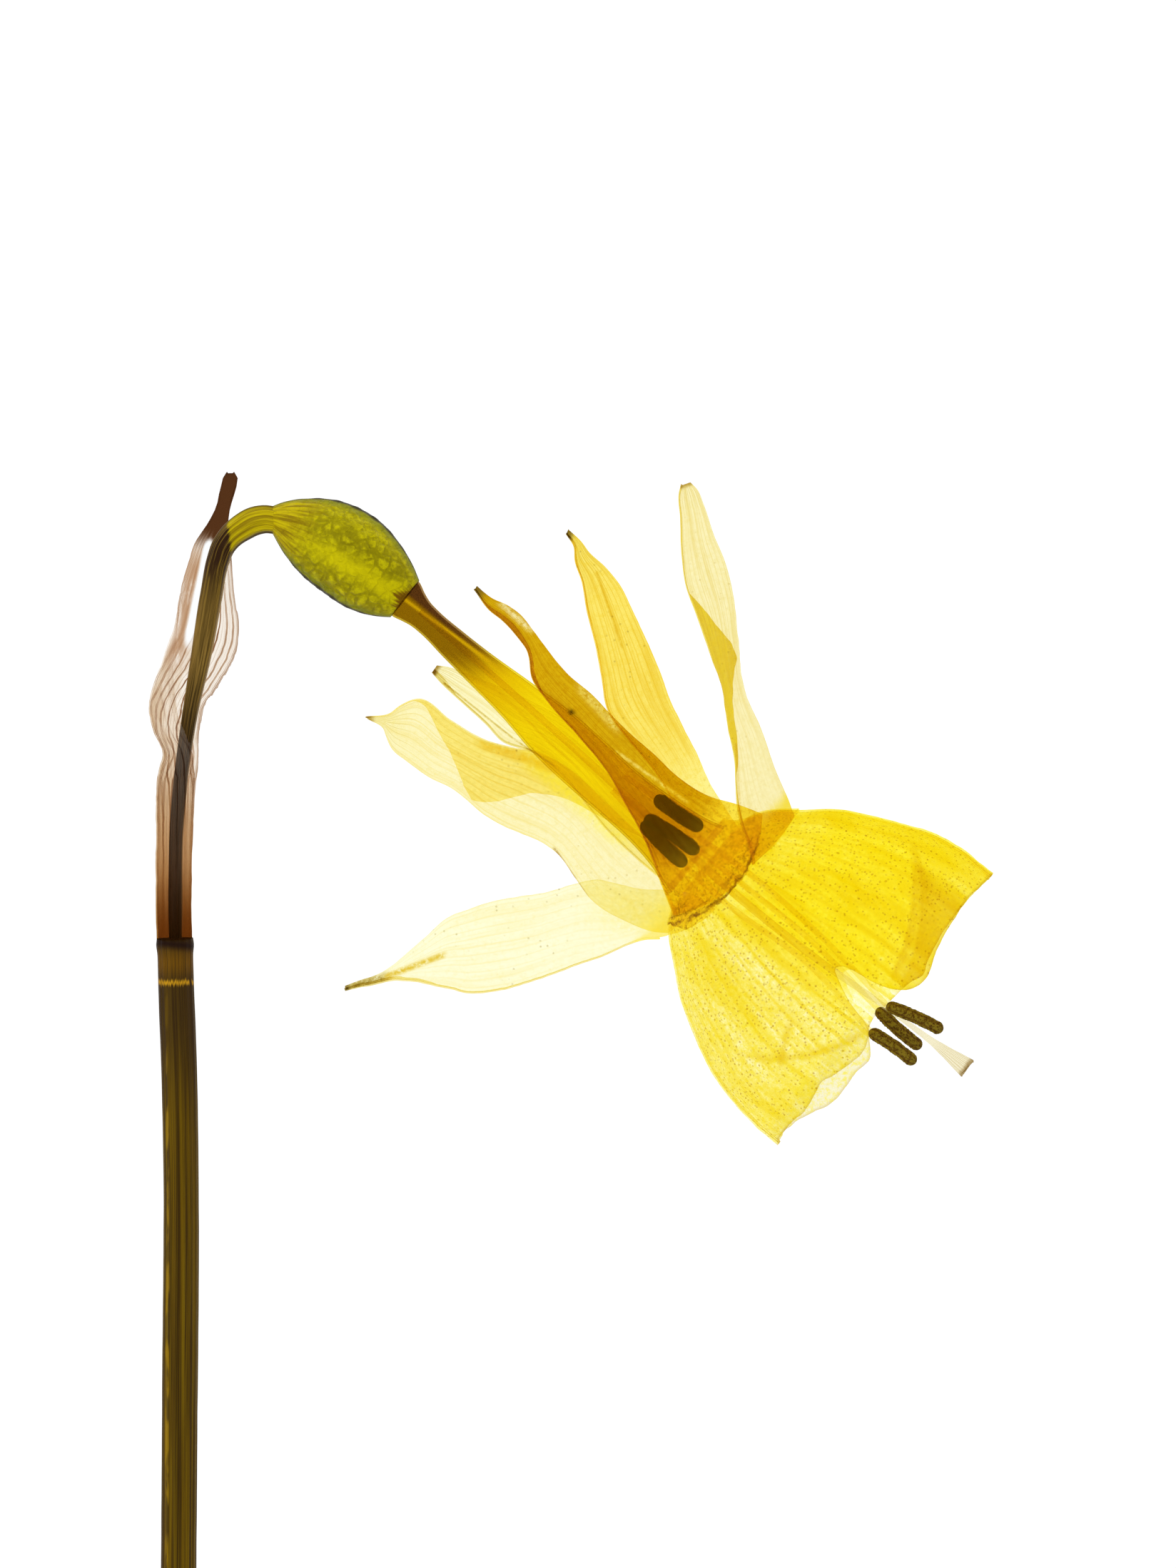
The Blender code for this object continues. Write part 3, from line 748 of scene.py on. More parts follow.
def tube_finish():
    paint = Paint("tube_wall")
    run, off = paint.from_axis(TUBE_START, TUBE_AXIS)
    fine = paint.streaks(34, 1.6)
    broad = paint.streaks(12, 1, 7)
    uneven = (broad - 0.5) * 8 + (fine - 0.5) * 4
    upper = (off - 0.25 - run * 0.03).past(-0.1, 0.3)
    brown = (run + uneven).past(9.5, 5)
    maroon = upper * run.bent(broad, 3).past(11, 2)
    olive = (run + uneven).past(15, 8)
    golden = (off - 0.04 - (run - 1.5) * 0.09).near(0, 0.28) * run.past(11.5, 7.5)
    amber = (run + uneven).past(18, 27) * run.past(33, 29.5)
    lines = fine.past(0.48, 0.62) * 0.65
    # Browner tint on its two sides, where the outline is seen from above: painted shade.
    margin = paint.sides().past(0.3, 0.05)
    tints = [(248, 222, 10, 2), (226, 184, 2, 2), (222, 176, 2, 2), (238, 202, 10, 2),
             (138, 98, 2, 2), (84, 48, 14, 2), (214, 168, 4, 2), (150, 106, 4, 2)]
    masks = [lines, olive * 0.8, amber * 0.8, brown, maroon, golden * 0.9, margin * 0.5]
    return blade(paint, tints, masks, fine, 0.1)


add_piece("flower_tube", tube_places, tube_finish(), "floral_tube", "ring", 0.16, -1)

# %% [markdown]
# ## The ring
# The tube flares at its end, and there the feet of the six petals have grown together into a
# collar that hugs the corona from outside. It is a surface turned round the bloom's axis, whose
# front edge runs further forward on one side than on the other.

# %% Model the collar
COLLAR = [(-3.3, 3.75), (-2.7, 3.95), (-1.9, 4.75), (-1.35, 5.95), (-0.9, 6.55), (-0.2, 7.25),
          (0.5, 7.85), (1.8, 8.95)]          # place along the axis, radius
COLLAR_EDGE = [(-7.6, -1.3), (-5.8, 0), (-2.6, 0.8), (0, 0.9), (2.5, 1), (5, 1.3),
               (7.9, 1.1)]                   # place across the axis, front edge along it
COLLAR_REACH = 7.9
collar_turn = TAU * np.arange(240) / 240
collar_edge = np.interp(COLLAR_REACH * np.cos(collar_turn), *np.array(COLLAR_EDGE).T)
collar_edge = collar_edge + 0.1 * waves(collar_turn / TAU, 41, 6, 9)
collar_t = np.linspace(0, 1, 46)[:, None]
collar_along = COLLAR[0][0] + collar_t * (collar_edge - COLLAR[0][0])
collar_radius = np.interp(collar_along, *np.array(COLLAR).T)
collar_radius = collar_radius + 0.05 * waves(collar_turn / TAU, 43, 5, 13) * collar_t ** 2
collar_places = outward(from_ring(collar_along, collar_radius * np.cos(collar_turn),
                                  FLATNESS * collar_radius * np.sin(collar_turn)))
print("collar", collar_places.shape)


# %% Finish and place the collar
def collar_finish():
    paint = Paint("collar_wall")
    spot = paint.spot
    run, off = paint.from_axis(RING, AXIS)
    grain = paint.noise(spot, 1.4, 5, 0.7)
    above = paint.z.past(9.5, 11)
    rough_line = run + off * off * 0.052 - off * 0.02 - 0.8 + (grain - 0.5) * 1.5
    wrinkle = rough_line.near(0, 0.24) + (rough_line + 0.6).near(0, 0.16) * 0.6
    wrinkle = wrinkle * above * paint.noise(spot, 1.1, 3).past(0.36, 0.54)
    wrinkle = wrinkle * off.past(5.5, 3)
    folds = (paint.noise(spot, 1.2, 3) - 0.5).near(0, 0.028) * off.past(-2.6, -4.2)
    fine = paint.streaks(160, 2)
    specks = paint.cells(spot, 2).past(0.22, 0.1)
    tints = [(254, 248, 170), (254, 244, 128), (255, 250, 176), (248, 230, 96), (124, 70, 8)]
    masks = [off.past(1.6, 3.4), off.past(-2.5, -4.5), fine.past(0.5, 0.64) * 0.7,
             wrinkle * 0.8 + specks * 0.25 + folds * above * 0.7]
    return blade(paint, tints, masks, grain, 0.2)


add_piece("petal_collar", collar_places, collar_finish(), None, "ring", 0.14)

# %% [markdown]
# ## The corona
# The trumpet of the flower is one open bell, pressed to an oval. A profile of half widths is
# turned round the bloom's axis. The rim is a line of its own: it rises and falls with the angle,
# and has one deep tear on top. Radial ribs and a few creases from the press lift the wall.

# %% Model the corona
CORONA_PROFILE = [(-1.85, 3.4), (-1.65, 4.9), (-1, 6.05), (1.7, 8.55), (3.7, 10.2), (6, 11.5),
    (8.5, 12.7), (10.8, 13.6), (13.5, 14.15), (17.4, 14.3)]
# Rim: angle round the axis in degrees, place of the rim along the axis in mm. 90 is on top.
RIM = [(0, 17.2), (20, 16.9), (54, 16.65), (67, 17.3), (73, 17.75), (82, 16.75), (84.6, 15.6),
    (86, 14.4), (87.4, 12.2), (90.4, 11.5), (93, 12.5), (96.4, 14.5), (98.4, 16.6), (102, 17.3),
    (111, 17.4), (118, 17), (124, 16.6), (130, 16.85), (137, 17.1), (148, 16.9), (160, 17.1),
    (180, 17.5), (200, 17.4), (218, 18.1), (231, 19.3), (247, 19.3), (253, 19.5), (258, 18.6),
    (261, 17.9), (265, 17.6), (270, 17.7), (277, 17.8), (283, 18.1), (287, 18.5), (292, 18.1),
    (306, 17.4), (320, 17.2), (340, 17.2), (360, 17.2)]
corona_rows, corona_sides = 118, 360
corona_turn = -0.25 - np.arange(corona_sides) / corona_sides
corona_degrees = np.mod(corona_turn * 360, 360)
rim_line = curve_through(RIM, 2881)
rim_at = np.interp(corona_degrees, rim_line[:, 0], rim_line[:, 1])
rim_at = rim_at + 0.07 * waves(corona_degrees / 360, 21, 6, 11)
profile = curve_through(CORONA_PROFILE, 400)
profile_t = np.linspace(0, 1, 400)
corona_t = np.linspace(0, 1, corona_rows)[:, None]
reach = (rim_at - CORONA_PROFILE[-1][0])[None, :] * corona_t ** 1.5
corona_along = np.interp(corona_t, profile_t, profile[:, 0]) + reach
corona_radius = np.interp(corona_along, profile[:, 0], profile[:, 1])
corona_angle = (TAU * corona_turn)[None, :]
ribs = 0.10 * np.cos(36 * corona_angle + 1.2 * waves(corona_t, 2)) * corona_t
wobble = 0.12 * waves(corona_along / 20, 4) * np.cos(5 * corona_angle) * corona_t


def crease(start, end, bow, width, top):
    """Distance in the press plane to a bowed line from start to end, as a soft ridge 0 to 1."""
    along, across = corona_along, corona_radius * np.cos(corona_angle)
    run = np.array(end) - start
    length = np.hypot(*run)
    u = ((along - start[0]) * run[0] + (across - start[1]) * run[1]) / length**2
    off = ((across - start[1]) * run[0] - (along - start[0]) * run[1]) / length
    off = off - bow * 4 * u * (1 - u)
    inside = np.clip(u * 6, 0, 1) * np.clip((1 - u) * 6, 0, 1)
    facing = (np.sin(corona_angle) > 0) == top
    return inside * np.exp(-(off / width) ** 2) * facing


CREASES = [((9.5, -10.7), (17, -1.4), -1.3, 0.3, True), ((9.8, 12), (13.6, 9.4), 0.1, 0.2, True),
    ((10.8, 11.8), (16.6, 2.1), 1.2, 0.28, False), ((14.2, -9.6), (12.2, -5.6), 0.2, 0.25, False)]
press = sum(crease(*one) for one in CREASES)
corona_radius = corona_radius + ribs + wobble + 0.3 * press
corona_places = from_ring(corona_along, corona_radius * np.cos(corona_angle),
                          FLATNESS * corona_radius * np.sin(corona_angle))
print("corona", corona_places.shape, "faces out:", volume(corona_places) > 0)


# %% [markdown]
# Seen against the light the bell is a bright clear yellow, paler on its lower lobe. Fine veins
# run from the ring to the rim, broader streaks are deeper yellow, and tiny brown specks lie all
# over it. The creases are kept as a number on the mesh, which the material reads, so the colour
# stays on the fold.

# %% Finish and place the corona
def corona_finish():
    paint = Paint("corona_wall")
    spot = paint.spot
    run, off = paint.from_axis(RING, AXIS)
    broad = paint.streaks(36, 0.6)
    fine = paint.streaks(150, 2, 3)
    lines = paint.veins(52, 0.13, 0.35)
    grain = paint.noise(spot, 2.2, 3, 0.75)
    patch = paint.noise(paint.vector(run * 0.12, off * 0.45, paint.z * 0.2), 1, 4, 0.6)
    dots = paint.cells(spot, 1.9).past(0.22, 0.13)
    dots = dots * paint.noise(spot, 0.4, 3).past(0.34, 0.5)
    paler = off.bent(broad, 3).past(1, -5)
    foot = run.past(5.5, 1.5) * 0.4 + run.past(12, 17) * 0.45
    doubled = (run + off * off * 0.042 - 16.6 + (grain - 0.5) * 0.6).past(-0.1, 0.3)
    doubled = doubled * off.past(1.2, 3) * off.past(12.5, 9.5)
    doubled = doubled * patch.past(0.25, 0.55)
    blot = paint.stroke((29.6, 16.9), (30, 15.6), 0.7) * grain.past(0.42, 0.6)
    far = paint.z.past(9.9, 9.5) * off.past(-1.5, -3) * run.past(16, 17)
    edge = paint.along.past(0.988, 1)
    ribbed = broad.past(0.46, 0.6) * 0.55 + patch.past(0.48, 0.62) * 0.6
    tints = [(255, 236, 34, 2), (255, 249, 190, 2), (255, 249, 160, 2), (242, 206, 2, 2),
             (240, 204, 10, 2), (247, 242, 206), (222, 172, 4, 2), (150, 96, 4)]
    masks = [paler, grain.past(0.48, 0.62) * 0.35 + foot, ribbed * (1 - paler * 0.5),
             lines * 0.35 + fine.past(0.5, 0.62) * 0.3 + grain.past(0.42, 0.3) * 0.4, far,
             doubled * 0.7 + paint.number("crease") * 0.6 + blot * 0.8,
             dots * (0.6 - far * 0.5) + edge * 0.2]
    return blade(paint, tints, masks, broad * 0.6 + fine * 0.4, 0.14, rough=0.45, grainy=0.6)


add_piece("corona_bell", corona_places, corona_finish(), "corona", "ring", 0.16, -1,
          {"crease": press})

# %% [markdown]
# ## The petals
# Six narrow petals sweep back from the ring. Each is a blade between two long edges that run in
# space from its foot to its tip. Between the edges the blade arches up a little and ripples
# where it has dried. Most are folded over along one edge: there the same sheet turns round and
# comes back over itself, which doubles the tint. The foot of a petal bows forward and lies on
# the collar.

# %% A petal between its edges
FOLD_GAP = 0.3                               # height of a fold over its own petal, in mm
HEM = 0.02                                   # least share of the width that an edge rolls over


def on_collar(places, gap):
    """Lifts places out to the collar's oval plus a gap: upwards, or downwards if it is below 0."""
    side = np.sign(gap)
    run, off = (places - RING) @ AXIS, (places - RING) @ SIDE
    radius = np.interp(run, *np.array(COLLAR).T, left=0)
    wall = FLATNESS * np.sqrt(np.clip(radius**2 - off**2, 0, None))
    level = side * RING[2] + wall + abs(gap)
    lifted = np.where(radius > np.abs(off), np.maximum(side * places[..., 2], level),
                      side * places[..., 2])
    places[..., 2] = side * lifted
    return places


def petal_places(crown, bow, gap, left, right, fold, seed, rows=190, columns=44, hems=18):
    """From edge to edge in a straight line, plus an arch, edge waves, ripples and a fold."""
    low, high = curve_through(left, rows), curve_through(right, rows)
    middle = (low + high) / 2
    out = np.cross(high - low, np.gradient(middle, axis=0))
    out /= np.linalg.norm(out, axis=1)[:, None]
    out = np.where(out[:, 2:] < 0, -out, out)
    edge, coordinate, table = fold
    share = np.interp(middle[:, coordinate], *np.array(sorted(table)).T).clip(HEM)[:, None]
    turned = np.linspace(0, 1, hems + 1)[None, 1:]
    flat = np.broadcast_to(np.linspace(0, 1, columns), (rows, columns))
    flap = share * turned if edge == "left" else 1 - share * turned
    rise = np.sin(np.clip(turned * 4, 0, 1) * TAU / 4)
    lift_flap = np.broadcast_to(FOLD_GAP * rise, flap.shape)
    v, lift = np.hstack((flat, flap)), np.hstack((flat * 0, lift_flap))
    if edge == "left":
        v, lift = np.hstack((flap[:, ::-1], flat)), np.hstack((lift_flap[:, ::-1], flat * 0))
    on_flap = lift > 0
    t = np.linspace(0, 1, rows)[:, None]
    body = np.sin(np.pi * t)
    lift = lift + crown * 4 * v * (1 - v) * body
    lift = lift + 0.2 * waves(t * 1.6, seed) * (2 * v - 1) ** 2 * body
    lift = lift + 0.035 * np.cos(TAU * 6 * v + 1.5 * waves(t, seed + 1)) * body
    sway = 0.005 * waves(t * 2.5, seed + 2) * body
    places = low[:, None] + (v + sway)[..., None] * (high - low)[:, None]
    places = places + lift[..., None] * out[:, None]
    places = places + (bow * 4 * v * (1 - v) * (1 - t) ** 8)[..., None] * AXIS
    return on_collar(places, gap), v, on_flap


# For each petal: crown, bow of the foot, gap to the collar, left edge, right edge, and its fold:
# which edge, read along X (0) or Y (1), and the share of the width that is folded over there.
PETALS = {
    "petal_1": (
        0.5, 0.2, 0.3,
        [(15.3, 17.4, 14.4), (15, 19, 14), (14.4, 20.8, 13.2), (14.1, 22.6, 12.2),
         (14.05, 24, 11.2), (14, 26, 10), (13.5, 28.9, 8.5), (13, 31.9, 7.2),
         (12.1, 34.8, 6.1), (10.9, 38.3, 4.9), (10, 41, 3.9), (9.7, 43.5, 3), (9.6, 46.6, 2),
         (9.5, 48.8, 1.4), (9.7, 49.5, 1.2)],
        [(18.9, 21.4, 10.4), (18.4, 22.8, 10.5), (17.5, 24.9, 10.2), (16.1, 28.9, 9.3),
         (15, 31.6, 8.4), (14.5, 33.9, 7.5), (14.3, 36.9, 6.3), (14, 39.8, 5.1), (13.3, 42.8, 3.9),
         (12.4, 45.1, 3), (11.5, 47.9, 1.9), (11, 49.1, 1.5), (10.4, 49.75, 1.3)],
        ("left", 1, [(49, 0), (41.3, 0), (37.5, 0.41), (34.8, 0.83), (33.3, 0.95), (30.4, 0.47),
         (26.2, 0)])),
    "petal_2": (
        0.5, 0.6, -0.3,
        [(11.2, 16.2, 4.6), (10, 20.2, 4.9), (7.8, 24.6, 4.6), (5.2, 27.8, 3.8), (3.5, 30.1, 3.2),
         (2.9, 33, 2.5), (2.4, 35.7, 1.9), (1.6, 38.9, 1.3), (1.2, 41.3, 0.9), (0.6, 43.1, 0.6),
         (0.5, 44.3, 0.5), (-0.15, 45.4, 0.4)],
        [(15, 19.6, 5.2), (13.7, 21.4, 5.8), (12.8, 22.8, 6.2), (12.1, 23.9, 6.2), (10.9, 26.6, 5.7),
         (9.7, 28.9, 5.1), (8.85, 30.7, 4.5), (7.8, 33.6, 3.5), (6.5, 36.6, 2.5), (5.3, 39.2, 1.7),
         (4.4, 41, 1.2), (3.2, 42.5, 0.9), (1.7, 43.9, 0.6), (1.2, 44.6, 0.5), (0, 45.8, 0.4)],
        ("left", 1, [(45, 0.3), (42.5, 0.05), (22, 0.02)])),
    "petal_3": (
        0.7, 2.1, 0.8,
        [(8.8, 13.2, 12.8), (7.7, 16, 13.8), (6.5, 19.3, 14.4), (4.9, 22.3, 14.8), (3.6, 24.7, 15),
         (0.9, 28.1, 14.8), (-1.5, 30.8, 14.3), (-2.9, 32.8, 13.8), (-3.3, 35.1, 13.2),
         (-4.3, 36.5, 12.9), (-5.4, 37.7, 12.5), (-6.6, 38.7, 12.1), (-7.7, 40.4, 11.9)],
        [(16.2, 21.6, 12.6), (14.1, 22.4, 14.2), (11.7, 23.1, 15), (9.2, 24.6, 15.2),
         (7, 26.7, 15.2), (5, 28.4, 15.1), (3.4, 30, 15), (2, 31.5, 14.7), (0, 33.2, 14.3),
         (-1.6, 35.1, 13.8), (-2.8, 36.7, 13.3), (-3.9, 38.1, 12.9), (-5.1, 39, 12.5),
         (-6.2, 39.5, 12.2), (-7.6, 40.6, 12)],
        ("left", 1, [(40, 0.2), (37.5, 0.38), (35, 0.35), (33.5, 0.15), (32, 0)])),
    "petal_4": (
        0.5, 0.6, -0.8,
        [(9.5, 14.6, 4.8), (3.5, 20, 3.6), (-0.6, 24.9, 2.7), (-1.8, 26, 2.5), (-2.9, 26.7, 2.3),
         (-5.7, 27.8, 1.6), (-6.8, 29, 1.3), (-9, 31, 0.9), (-11.1, 33, 0.4),
         (-11.6, 33.6, 0.4)],
        [(12.8, 18.6, 4.4), (6.2, 23.4, 3.4), (1.5, 28.3, 2.4), (-3.5, 31.3, 1.5), (-8, 33.2, 0.7),
         (-10.4, 34.1, 0.4), (-11.2, 34.2, 0.4)],
        ("left", 0, [(-11.5, 0.5), (-10.4, 0.3), (-9, 0.06), (-2, 0.03)])),
    "petal_5": (
        0.5, 0.3, -0.3,
        [(8.4, 11.6, 8.4), (7.2, 11.7, 8.3), (5, 12.5, 7.8), (2, 14.3, 7.1), (0.7, 16, 6.6),
         (-1, 18.3, 6), (-2.5, 19.3, 5.5), (-4, 19.95, 5.1), (-5.8, 20.7, 4.6),
         (-7.4, 21.7, 4.1), (-8.5, 22.7, 3.6), (-10, 23.8, 3), (-11.7, 24.6, 2.4),
         (-13.7, 26, 1.7), (-15, 27.1, 1.1), (-15.5, 28.2, 0.8), (-15.7, 28.75, 0.7),
         (-17.1, 29.65, 0.4)],
        [(11.3, 14.6, 5.6), (9.1, 17, 5.6), (6.9, 19, 5.5), (3.6, 22.1, 5.2), (-0.9, 26, 4.4),
         (-2.6, 26.8, 4.1), (-4.5, 27.1, 3.7), (-7, 27.8, 3), (-10, 29.5, 2.1),
         (-12.7, 31.3, 1.3), (-14.2, 30.7, 1), (-15, 30.1, 0.8), (-17.2, 29.8, 0.4)],
        ("right", 0, [(-14.2, 0), (-12.6, 0.1), (-10, 0.45), (-8, 0.85), (-7, 0.95),
         (-5, 0.75), (-3, 0.5), (1, 0.26), (3, 0.1), (4.5, 0)])),
    "petal_6": (
        0.6, 0.45, 0.3,
        [(7.7, 11.3, 10), (6.4, 11.2, 9.7), (5.1, 10.8, 9.2), (3, 9.8, 8.3), (0, 8.7, 7.3),
         (-2.5, 7.8, 6.5), (-5, 6.95, 5.7), (-7.5, 6.5, 5), (-10.5, 7, 4), (-13, 7.45, 3.2),
         (-15, 7.5, 2.4), (-17, 7.1, 1.7), (-18.9, 6.6, 1.1)],
        [(12.2, 13.7, 14), (10.7, 14.8, 13.7), (8.4, 15.25, 13), (6.2, 15.3, 12.4),
         (4.2, 15.7, 12), (2.3, 16.1, 11.4), (0.7, 15.8, 10.9), (-2, 15, 9.9), (-5, 14.5, 8.8),
         (-8, 13.7, 7.5), (-10.2, 12.8, 6.4), (-12, 11.2, 5.3), (-13.5, 9.9, 4.4),
         (-15, 8.6, 3.3), (-16.5, 7.8, 2.4), (-17.6, 7.45, 1.8), (-19, 6.9, 1.2)],
        ("left", 0, [(-19, 0.8), (-16, 0.7), (-14.8, 0.4), (-13.5, 0.15), (-11, 0.04),
         (-6, 0)])),
}
print("petals:", ", ".join(PETALS))


# %% [markdown]
# The blades differ: those in front are almost clear, those near the tube a deep amber. Each has
# its own pale and deep tint and a brown one for its dry tip. Fine veins run from foot to tip.

# %% Finishes of the petals
def petal_finish(name, pale, deep, dark, flap, foot, vein, tip_reach, strokes):
    """Pale blade with deeper streaks and edges, thin veins, small specks and a brown tip."""
    paint = Paint(name, closed=False)
    along, spot = paint.along, paint.spot
    across = paint.across = paint.number("width")
    broad = paint.streaks(6, 1.6)
    fine = paint.streaks(40, 4, 2)
    lines = paint.veins(10, 0.12, 0.4)
    grain = paint.noise(spot, 2.2, 4, 0.7)
    dots = paint.cells(spot, 1.1).past(0.14, 0.07) * paint.noise(spot, 0.3).past(0.45, 0.6)
    edge = (across - 0.5).size().past(0.475, 0.5)
    tip = (along + (fine - 0.5) * tip_reach * 2).past(1 - tip_reach, 1 - 0.2 * tip_reach)
    near_tip = along.past(1 - 7 * tip_reach, 1) * lines
    vein = along.past(0.1, 0.6) * (0.6 * vein) + 0.4 * vein
    foot_tint, foot_reach = foot
    at_foot = (along + (fine - 0.5) * foot_reach * 0.5).past(foot_reach, 0.5 * foot_reach)
    tints = [pale, flap, deep, deep, foot_tint, *(stroke[3] for stroke in strokes), dark]
    masks = [paint.number("flap"), broad.past(0.46, 0.62) * vein + grain.past(0.52, 0.7) * 0.2,
             lines * vein + fine.past(0.52, 0.64) * vein * 0.5 + edge * 0.3, at_foot]
    ragged = grain.past(0.3, 0.55)
    masks += [paint.stroke(*stroke[:3]) * ragged * stroke[4] for stroke in strokes]
    masks.append(dots * 0.5 + tip + near_tip * 0.5)
    return blade(paint, tints, masks, lines * 0.5 + fine * 0.5, 0.07, grainy=0.35)


# For each petal: pale, deep and dry tint, tint of the folded part, tint of the foot and the share
# of the length that it takes, strength of the veins, share that the dry tip takes, and single
# strokes: start, end and reach in mm, then tint and strength.
DRY = (120, 96, 30)
PETAL_TINTS = {
    "petal_1": (
        (249, 240, 184), (230, 206, 104), (190, 160, 70), (240, 220, 76), ((244, 222, 74), 0.085), 0.4,
        0.015,
        [((14.4, 21), (14.1, 27.5), 0.2, (226, 196, 90), 0.5)]),
    "petal_2": (
        (250, 230, 108), (232, 190, 34), DRY, (250, 234, 150), ((253, 240, 140), 0.34), 0.5, 0.03,
        [((2.4, 42.2), (4.6, 35.6), 0.22, (222, 176, 24), 0.7)]),
    "petal_3": (
        (218, 176, 14), (188, 136, 4), DRY, (240, 204, 90), ((250, 226, 70), 0.2), 0.45, 0.045,
        [((-5.7, 39.25), (-3, 36.8), 0.5, (252, 244, 190), 0.9),
         ((0.9, 32.2), (4.2, 28.6), 0.7, (246, 230, 120), 0.8),
         # This pale line is a painted highlight: light through a thin gap beside the tube.
         ((4, 26.8), (10, 22.5), 0.25, (252, 236, 130), 0.7),
         ((-2.3, 32.1), (1.2, 29.4), 0.4, (196, 146, 8), 0.7),
         ((0.15, 30.15), (0.45, 29.95), 0.4, (60, 44, 6), 1)]),
    "petal_4": (
        (253, 248, 200), (232, 212, 116), (170, 140, 60), (240, 230, 170), ((253, 244, 170), 0.2), 0.35,
        0.02,
        [((-10.6, 32.7), (-4.6, 27.9), 0.14, (206, 178, 60), 0.9),
         ((-4.6, 27.9), (-1.2, 25.6), 0.14, (206, 178, 60), 0.9)]),
    "petal_5": (
        (251, 244, 190), (240, 214, 96), (180, 150, 60), (254, 243, 168), ((254, 242, 140), 0.1), 0.25,
        0.025,
        [((-3.6, 26.6), (5, 19), 1.4, (253, 242, 120), 0.9),
         ((-7.5, 27.6), (-1, 25.3), 0.8, (244, 216, 80), 0.6),
         ((-17, 29.6), (-14.5, 29.6), 1.6, (244, 230, 140), 0.7),
         ((-1.2, 18.7), (1.6, 14.6), 0.22, (170, 130, 50), 0.8)]),
    "petal_6": (
        (254, 252, 216), (244, 226, 130), (150, 130, 60), (244, 230, 160), ((253, 237, 116), 0.1), 0.22,
        0.02,
        [((-18.7, 6.9), (-15.4, 7.8), 0.6, (176, 150, 50), 0.9),
         ((-15.6, 7.7), (-10.4, 9.7), 0.42, (224, 188, 40), 0.95),
         ((3, 13.6), (9.5, 13), 3.2, (251, 240, 150), 0.8)]),
}

# %% Place the petals
for number, (name, (crown, bow, gap, left, right, fold)) in enumerate(PETALS.items()):
    places, width, on_flap = petal_places(crown, bow, gap, left, right, fold, 30 + 7 * number)
    add_piece(name + "_blade", places, petal_finish(name + "_blade", *PETAL_TINTS[name]),
              name, "sheet", 0.12, 0, {"width": width, "flap": on_flap})

# %% [markdown]
# ## Stamens and style
# Six stamens each carry a pollen sac. Three sacs stand out of the mouth and three are still
# inside the tube, where they show as soft dark shadows. A sac is a sausage with round ends, four
# lobes and a seam between them, rough with pollen. The threads and the style let some light
# through. The style runs the whole length and flares at its end.

# %% Model and place the stamens
LONG_SACS = [((17.1, 0.25, 1.3), (22.1, 1.6, 1.5)), ((16.8, -0.45, -1.3), (21.8, -0.65, -1.5)),
    ((17.4, -2.3, 0.1), (22.15, -1.95, 0.2))]
SHORT_SACS = [((-8.9, 1.55, 0), (-4.1, 2, 0)), ((-8.5, -0.35, 0.85), (-3.1, 0.2, 1.1)),
    ((-8.4, -0.75, -0.85), (-3.2, -1.25, -1))]
LONG_SAC, SHORT_SAC = 0.5, 0.6               # radii in mm
# Across the axis, where a long thread leaves the ring, is halfway, and meets its sac.
THREAD_LINES = [(1.55, 1.2, 0.25), (0.5, 0.4, -0.45), (-1.6, -1.2, -2.3)]
THREAD = 0.25


def sac_places(base, tip, radius, seed):
    """Sausage: quarter circles at both ends, four lobes as a cosine, grains as noise."""
    rows, sides = 80, 48
    t = 0.5 - 0.5 * np.cos(np.linspace(0, np.pi, rows))
    base, tip = from_ring(*base), from_ring(*tip)
    path = base + t[:, None] * (tip - base)
    path = path + (0.12 * np.sin(np.pi * t) * (-1) ** seed)[:, None] * SIDE
    end = 1.3 * radius / np.linalg.norm(tip - base)
    beyond = np.clip((np.abs(2 * t - 1) - 1 + 2 * end) / (2 * end), 0, 0.998)
    radii = radius * np.sqrt(1 - beyond**2) * (1 + 0.04 * waves(t * 1.5, 60 + seed))
    places = pipe(path, radii, sides, 4, 0.10, -0.125)
    grains = 0.03 * np.random.default_rng(seed).normal(size=(rows, sides, 1))
    return outward(places + grains * (places - path[:, None]))


def thread_finish():
    paint = Paint("stamen_thread")
    fine = paint.streaks(6, 9)
    outside = paint.from_axis(RING, AXIS)[0].past(9, 13)
    tints = [(248, 232, 104), (252, 240, 136), (252, 244, 184)]
    return blade(paint, tints, [fine.past(0.4, 0.6), outside * 0.9], fine, 0.04)


def sac_finish():
    paint = Paint("pollen_sac")
    grain = paint.noise(paint.spot, 4, 4, 0.75)
    seam = (paint.across * (2 * TAU)).math("SINE").size()
    paint.colour = paint.blend(grain.past(0.38, 0.62), lit(74, 48, 12), lit(118, 92, 22))
    # Lighter on the crests of the four lobes: painted highlight.
    paint.coat(seam.past(0.3, 0.75) * grain.past(0.4, 0.55) * 0.5, 134, 122, 40)
    # Darker in the grooves between the lobes: painted shade.
    paint.coat(seam.past(0.2, 0) * 0.6, 54, 34, 10)
    return paint.opaque(0.75, grain, 0.1)


def shadow_finish():
    """Sac seen through the tube: dark in its middle and soft at its sides."""
    paint = Paint("inner_pollen_sac")
    grain = paint.noise(paint.spot, 1.6, 5, 0.7)
    sides = (paint.across * TAU + TAU / 8).math("COSINE").size()
    dark = sides.bent(grain, 0.7).past(0.02, 0.45)
    return blade(paint, [(250, 236, 150), (52, 30, 24)], [dark], grain, 0.2, scatter=0.01)


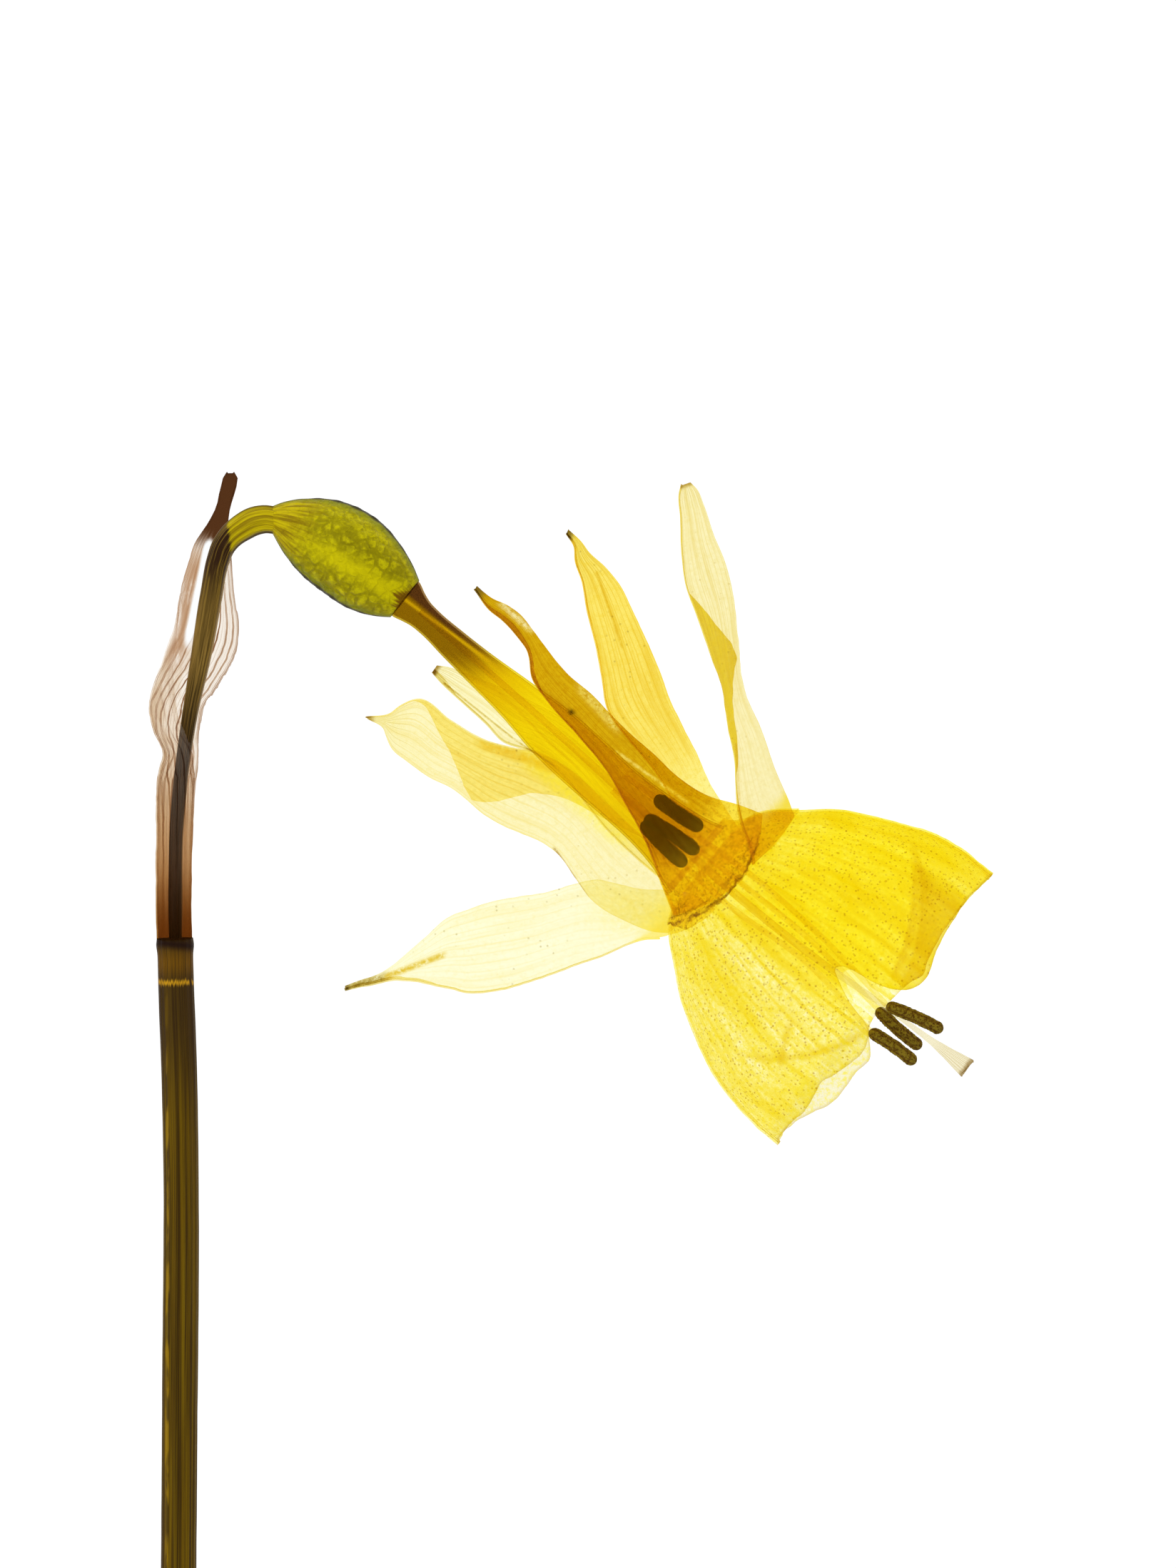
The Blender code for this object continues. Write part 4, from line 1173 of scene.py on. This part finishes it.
thread_paint, sac_paint, inner_sac_paint = thread_finish(), sac_finish(), shadow_finish()
for number, (base, tip) in enumerate(LONG_SACS + SHORT_SACS):
    if number < 3:
        start, half, end = THREAD_LINES[number]
        route = [(-4, 0.8 * start, 0.4 * base[2]), (1.3, start, 0.7 * base[2]),
                 (10, half, base[2]), (base[0] + 0.3, end, base[2])]
    else:
        route = [(-12, 0.7 * base[1] + 0.2, 0.85 * base[2]), (base[0] + 0.3, base[1], base[2])]
    route = [from_ring(*place) for place in curve_through(route, 60)]
    thread = outward(pipe(route, np.full(60, THREAD), 16))
    sac = sac_places(base, tip, LONG_SAC if number < 3 else SHORT_SAC, number)
    label = str(number + 1)
    add_piece("thread_" + label, thread, thread_paint, "filament_" + label)
    add_piece("pollen_sac_" + label, sac, sac_paint if number < 3 else inner_sac_paint,
              "anther_" + label)

# %% Model and place the style
STYLE = [(-14, 0.3, 0), (-4, -0.3, 0), (1.3, -0.5, 0), (10, -0.4, 0), (17, 0.1, 0), (22, 0.35, 0),
    (25.75, 0.5, 0)]
style_rows, style_sides = 220, 72
style_path = curve_through([TUBE_START + 1.2 * TUBE_AXIS]
                           + [from_ring(*place) for place in STYLE], style_rows)
style_t = np.linspace(0, 1, style_rows)
STYLE_RADII = [(0, 0.28), (0.83, 0.26), (0.88, 0.2), (0.92, 0.26), (0.955, 0.44), (0.985, 0.72),
    (1, 0.86)]
style_radii = np.interp(style_t, *curve_through(STYLE_RADII, 400).T)
style_places = outward(pipe(style_path, style_radii, style_sides, 3, 0.05))
frill = 0.12 * waves(np.arange(style_sides) / style_sides, 77, 4, 3)[None, :, None]
style_places = style_places + frill * np.clip(style_t * 30 - 29, 0, 1)[:, None, None] * AXIS


def style_finish():
    paint = Paint("style_skin")
    run = paint.from_axis(RING, AXIS)[0]
    lines = paint.veins(18, 0.2, 0.8)
    flare = run.past(21.5, 23.5)
    rim = paint.along.past(0.9925, 0.9985)
    tints = [(250, 244, 216), (234, 222, 180), (196, 176, 120), (250, 234, 120), (150, 122, 70)]
    masks = [lines * 0.5, lines * flare * 0.8, run.past(14, 9) * 0.9, rim * 0.8]
    return blade(paint, tints, masks, lines, 0.06, scatter=0.15)


add_piece("flared_style", style_places, style_finish(), "style")

# %% [markdown]
# ## Done
# The last cell prints how many pieces were made.

# %% Count the pieces
print("pieces:", len(pieces))
